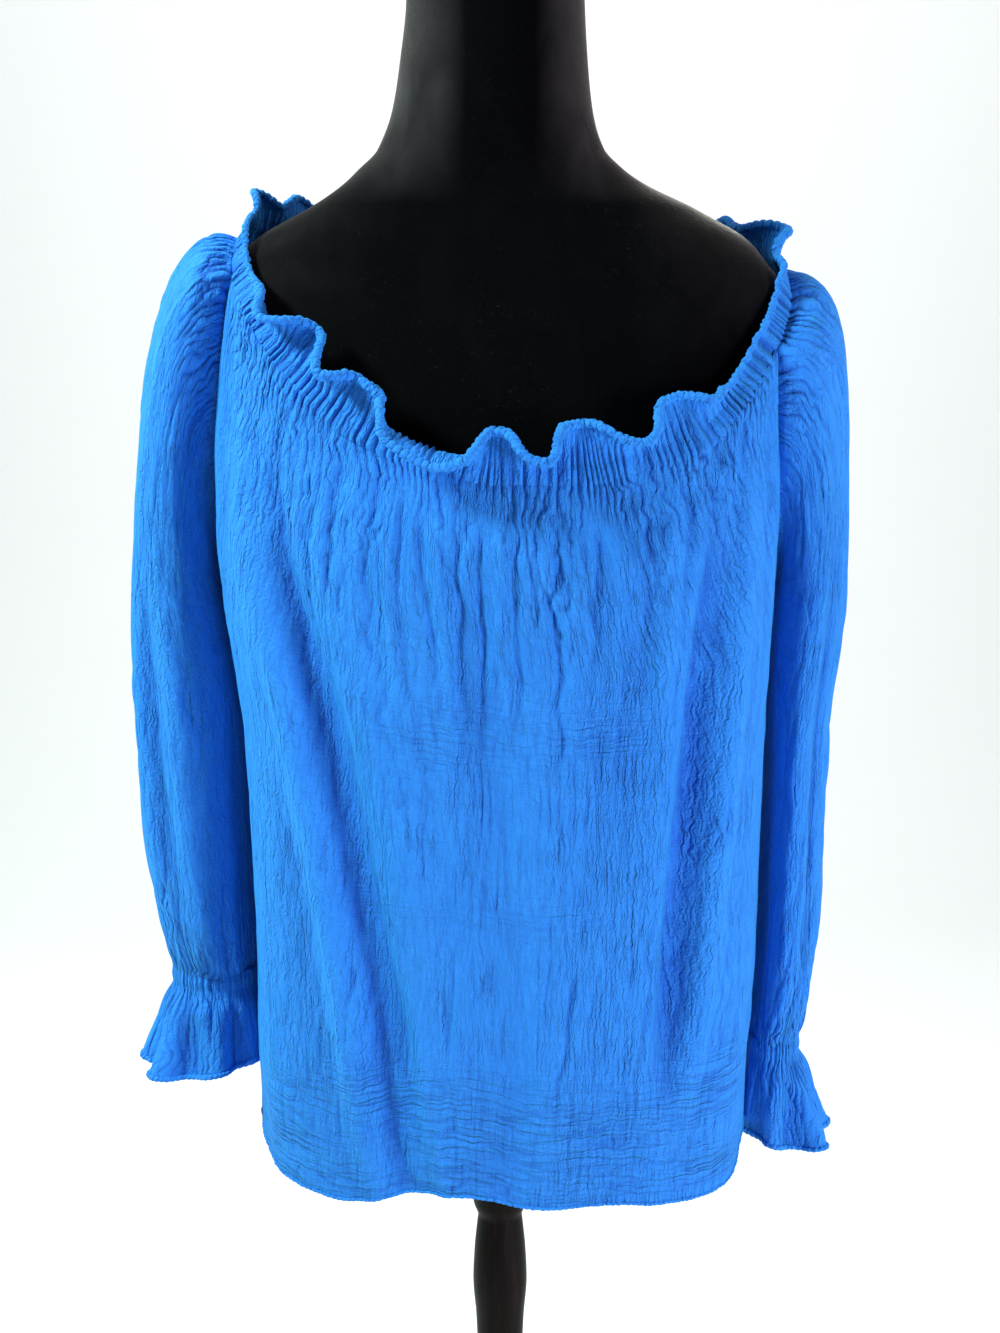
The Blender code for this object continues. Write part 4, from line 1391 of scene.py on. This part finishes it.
def backdrop(studio):
    """A floor that sweeps up into a wall behind the form."""
    mesh = bpy.data.meshes.new("backdrop")
    sweep = bmesh.new()
    bend = np.radians(np.linspace(0, 90, 13))
    depth, curve = studio.depth, studio.curve
    flat = depth - curve
    profile = [(-4.0, 0.0), (flat, 0.0)]
    profile += [(flat + curve * math.sin(a), curve - curve * math.cos(a)) for a in bend[1:]]
    profile += [(depth, 6.0)]
    chain = [sweep.verts.new((-6.0, y, z - 0.0005)) for y, z in profile]
    edges = [sweep.edges.new(pair) for pair in zip(chain, chain[1:])]
    grown = bmesh.ops.extrude_edge_only(sweep, edges=edges)["geom"]
    moved = [part for part in grown if isinstance(part, bmesh.types.BMVert)]
    bmesh.ops.translate(sweep, verts=moved, vec=(12.0, 0, 0))
    bmesh.ops.reverse_faces(sweep, faces=[f for f in sweep.faces if f.normal.z < -0.01])
    sweep.to_mesh(mesh)
    sweep.free()
    mesh.shade_smooth()
    obj = bpy.data.objects.new("backdrop", mesh)
    bpy.context.scene.collection.objects.link(obj)
    obj.data.materials.append(plain_backdrop(studio).material)


def lamp(name, place, aim, size, power, colour=(1.0, 1.0, 1.0)):
    light = bpy.data.lights.new(name, "AREA")
    light.shape = "DISK"
    light.size = size
    light.energy = power
    light.color = colour
    obj = bpy.data.objects.new(name, light)
    bpy.context.scene.collection.objects.link(obj)
    away = np.array(place) - np.array(aim)
    obj.location = place
    heading = math.atan2(away[0], -away[1])
    obj.rotation_euler = (math.acos(away[2] / np.linalg.norm(away)), 0, heading)


def camera(studio):
    eye = bpy.data.cameras.new("camera")
    eye.lens = studio.lens
    obj = bpy.data.objects.new("camera", eye)
    bpy.context.scene.collection.objects.link(obj)
    obj.location = (0.0, -studio.distance, studio.eye_height)
    obj.rotation_euler = (math.radians(90) - studio.tilt, 0, 0)
    bpy.context.scene.camera = obj


def metres(name, description, default):
    return FloatProperty(
        name=name, description=description, default=default, unit="LENGTH", precision=4
    )


def tint(name, description, *default):
    return FloatVectorProperty(
        name=name, description=description, default=default, subtype="COLOR"
    )


def watts(name, description, default):
    return FloatProperty(name=name, description=description, default=default, unit="POWER")


def amount(name, description, default):
    return FloatProperty(name=name, description=description, default=default)


class BlouseCloth(bpy.types.PropertyGroup):
    wall: metres("Wall", "Thickness of the gauze", 0.0008)
    gather: amount("Gathers", "Strength of the gathers at the neckline and wrists", 1.0)
    crinkle: metres("Crinkle", "Depth of the lengthwise crinkle", 0.0010)
    wrinkle: metres("Cross wrinkles", "Depth of the crosswise wrinkles above the hem", 0.0009)
    crepe: metres("Crepe", "Depth of the fine crepe in the surface", 0.0014)
    edge: metres("Rolled edge", "Radius of the rolled and overcast edge of the frill", 0.0030)
    colour: tint("Azure", "Colour of the gauze", 0.020, 0.225, 0.80)
    # The colour that the gauze is painted towards as shade in its creases, crinkle lines, rib gaps
    # and wrinkles.
    crease_shade_colour: tint("Grooves", "Colour deep in the creases", 0.006, 0.085, 0.50)
    slub_colour: tint("Slubs", "Colour of the lighter threads", 0.035, 0.31, 0.92)


class BlouseForm(bpy.types.PropertyGroup):
    velvet: tint("Velvet", "Colour of the form's pile", 0.0002, 0.0004, 0.0010)
    # The next colour is that of brushed pile, and of the sheen painted on at the sides of the neck
    # and on the shoulders.
    brushing_and_sheen_colour: tint("Bloom", "Colour where the pile is brushed up", 0.050, 0.046, 0.050)
    lint: tint("Lint", "Colour of the lint on the pile", 0.10, 0.09, 0.085)


class BlouseStand(bpy.types.PropertyGroup):
    stain: tint("Stain", "Darkest tone of the wood", 0.004, 0.003, 0.0026)
    grain: tint("Grain", "Lighter streaks of the wood", 0.017, 0.010, 0.007)


class BlouseStudio(bpy.types.PropertyGroup):
    distance: metres("Distance", "Camera's distance in front of the form", 1.30)
    eye_height: metres("Eye height", "Camera's height above the floor", 1.268)
    tilt: FloatProperty(
        name="Tilt",
        description="Downward tilt of the camera",
        default=math.radians(13),
        subtype="ANGLE",
    )
    lens: amount("Lens", "Focal length in millimetres", 50.15)
    depth: metres("Wall distance", "Distance of the backdrop's wall", 3.2)
    curve: metres("Sweep", "Radius of the backdrop's bend", 1.2)
    floor: tint("Floor", "Colour of the floor and backdrop", 0.93, 0.93, 0.93)
    key: watts("Key light", "Power of the key light", 70.0)
    fill: watts("Fill light", "Power of the fill light", 46.0)
    side: watts("Side light", "Power of the light from the left", 12.0)
    wall: watts("Wall light", "Power of the light on the backdrop", 50.0)
    ambient: amount("Ambient", "Brightness of the surrounding light", 0.12)


class BLOUSE_OT_stage(bpy.types.Operator):
    """Set up the floor, backdrop, lights and camera"""

    bl_idname = "blouse.stage"
    bl_label = "Studio"

    def execute(self, context):
        studio = context.scene.blouse_studio
        backdrop(studio)
        chest = (0.0, 0.0, HEM_Z + 0.35)
        waist = (0.0, 0.0, HEM_Z + 0.15)
        lamp("key", (-1.50, -0.55, 2.35), chest, 0.45, studio.key, (0.80, 1.0, 0.92))
        lamp("fill", (1.70, -1.50, 0.85), waist, 0.9, studio.fill, (1.0, 0.93, 1.0))
        lamp("left side", (-1.7, 0.55, 1.8), chest, 0.7, studio.side, (0.92, 1.0, 0.98))
        lamp("right side", (1.7, 0.55, 1.7), chest, 0.7, 0.6 * studio.side)
        lamp("wall", (0.0, 1.2, 3.4), (0.0, studio.depth, 1.0), 2.5, studio.wall)
        world = bpy.data.worlds.new("studio")
        world.use_nodes = True
        world.node_tree.nodes["Background"].inputs["Strength"].default_value = studio.ambient
        world.node_tree.nodes["Background"].inputs["Color"].default_value = (1, 1, 1, 1)
        context.scene.world = world
        context.scene.view_settings.view_transform = "Standard"
        camera(studio)
        return {"FINISHED"}


class BLOUSE_OT_body(bpy.types.Operator):
    """Lay the front and the back, with their gathers and creases"""

    bl_idname = "blouse.body"
    bl_label = "Front and back"

    def execute(self, context):
        look = context.scene.blouse_cloth
        front, back = body_panel("blouse_front", FRONT, look), body_panel("blouse_back", BACK, look)
        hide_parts("front_panel")
        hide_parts("back_panel")
        hem = hem_edge(front, back, look)
        return {"FINISHED"}


class BLOUSE_OT_sleeves(bpy.types.Operator):
    """Lay both raglan sleeves"""

    bl_idname = "blouse.sleeves"
    bl_label = "Sleeves"

    def execute(self, context):
        look = context.scene.blouse_cloth
        for side in (LEFT, RIGHT):
            obj = sleeve(side, look)
            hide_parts(f"sleeve_{WORDS[side]}")
        return {"FINISHED"}


class BLOUSE_OT_neck(bpy.types.Operator):
    """Lay the elastic casing, the frill and its rolled edge round the neckline"""

    bl_idname = "blouse.neck"
    bl_label = "Neckline"

    def execute(self, context):
        look = context.scene.blouse_cloth
        frill, edge = neck_frill(look), neck_edge(look)
        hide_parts("neck_casing", "neck_frill")
        return {"FINISHED"}


class BLOUSE_OT_cuffs(bpy.types.Operator):
    """Lay the elastic band and the flounce with its edge at each wrist"""

    bl_idname = "blouse.cuffs"
    bl_label = "Cuffs"

    def execute(self, context):
        look = context.scene.blouse_cloth
        for side in (LEFT, RIGHT):
            obj, edge = cuff(side, look), cuff_edge(side, look)
            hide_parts(f"cuff_band_{WORDS[side]}", f"cuff_flounce_{WORDS[side]}")
        return {"FINISHED"}


class BLOUSE_OT_form(bpy.types.Operator):
    """Build the limbless form"""

    bl_idname = "blouse.form"
    bl_label = "Dress form"

    def execute(self, context):
        obj = form_body()
        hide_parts("torso")
        velvet(context.scene.blouse_form).put_on(obj)
        return {"FINISHED"}


class BLOUSE_OT_stand(bpy.types.Operator):
    """Build the turned pole and the round base"""

    bl_idname = "blouse.stand"
    bl_label = "Stand"

    def execute(self, context):
        stand = context.scene.blouse_stand
        upright, foot = pole(), base()
        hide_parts("stand_pole")
        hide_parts("stand_base")
        espresso(stand, "espresso_turned", (1, 1, 14)).put_on(upright)
        espresso(stand, "espresso_flat", (14, 1, 1)).put_on(foot)
        return {"FINISHED"}


class BLOUSE_OT_dye(bpy.types.Operator):
    """Put the gauze on every piece of the blouse"""

    bl_idname = "blouse.dye"
    bl_label = "Gauze"

    def execute(self, context):
        pieces = [obj for obj in context.scene.objects if obj.name.startswith("blouse_")]
        if not pieces:
            raise RuntimeError("the blouse has not been laid yet")
        gauze(context.scene.blouse_cloth).put_on(*pieces)
        return {"FINISHED"}


class BLOUSE_PT_sidebar(bpy.types.Panel):
    """The steps that build the blouse, its form and its studio"""

    bl_label = "Peasant blouse"
    bl_idname = "BLOUSE_PT_sidebar"
    bl_space_type = "VIEW_3D"
    bl_region_type = "UI"
    bl_category = "Blouse"

    def draw(self, context):
        for step in STEPS:
            self.layout.operator(step.bl_idname)
        for group in GROUPS:
            settings = getattr(context.scene, group)
            for name in settings.bl_rna.properties.keys():
                if name not in ("rna_type", "name"):
                    self.layout.prop(settings, name)


STEPS = (
    BLOUSE_OT_stage,
    BLOUSE_OT_form,
    BLOUSE_OT_stand,
    BLOUSE_OT_body,
    BLOUSE_OT_sleeves,
    BLOUSE_OT_neck,
    BLOUSE_OT_cuffs,
    BLOUSE_OT_dye,
)
GROUPS = {
    "blouse_cloth": BlouseCloth,
    "blouse_form": BlouseForm,
    "blouse_stand": BlouseStand,
    "blouse_studio": BlouseStudio,
}


def register():
    for kind in (*GROUPS.values(), *STEPS, BLOUSE_PT_sidebar):
        bpy.utils.register_class(kind)
    for name, kind in GROUPS.items():
        setattr(bpy.types.Scene, name, PointerProperty(type=kind))


def unregister():
    for name in GROUPS:
        delattr(bpy.types.Scene, name)
    for kind in reversed((*GROUPS.values(), *STEPS, BLOUSE_PT_sidebar)):
        bpy.utils.unregister_class(kind)


def main():
    register()
    bpy.ops.blouse.stage()
    bpy.ops.blouse.form()
    bpy.ops.blouse.stand()
    bpy.ops.blouse.body()
    bpy.ops.blouse.sleeves()
    bpy.ops.blouse.neck()
    bpy.ops.blouse.cuffs()
    bpy.ops.blouse.dye()


if __name__ == "__main__":
    main()
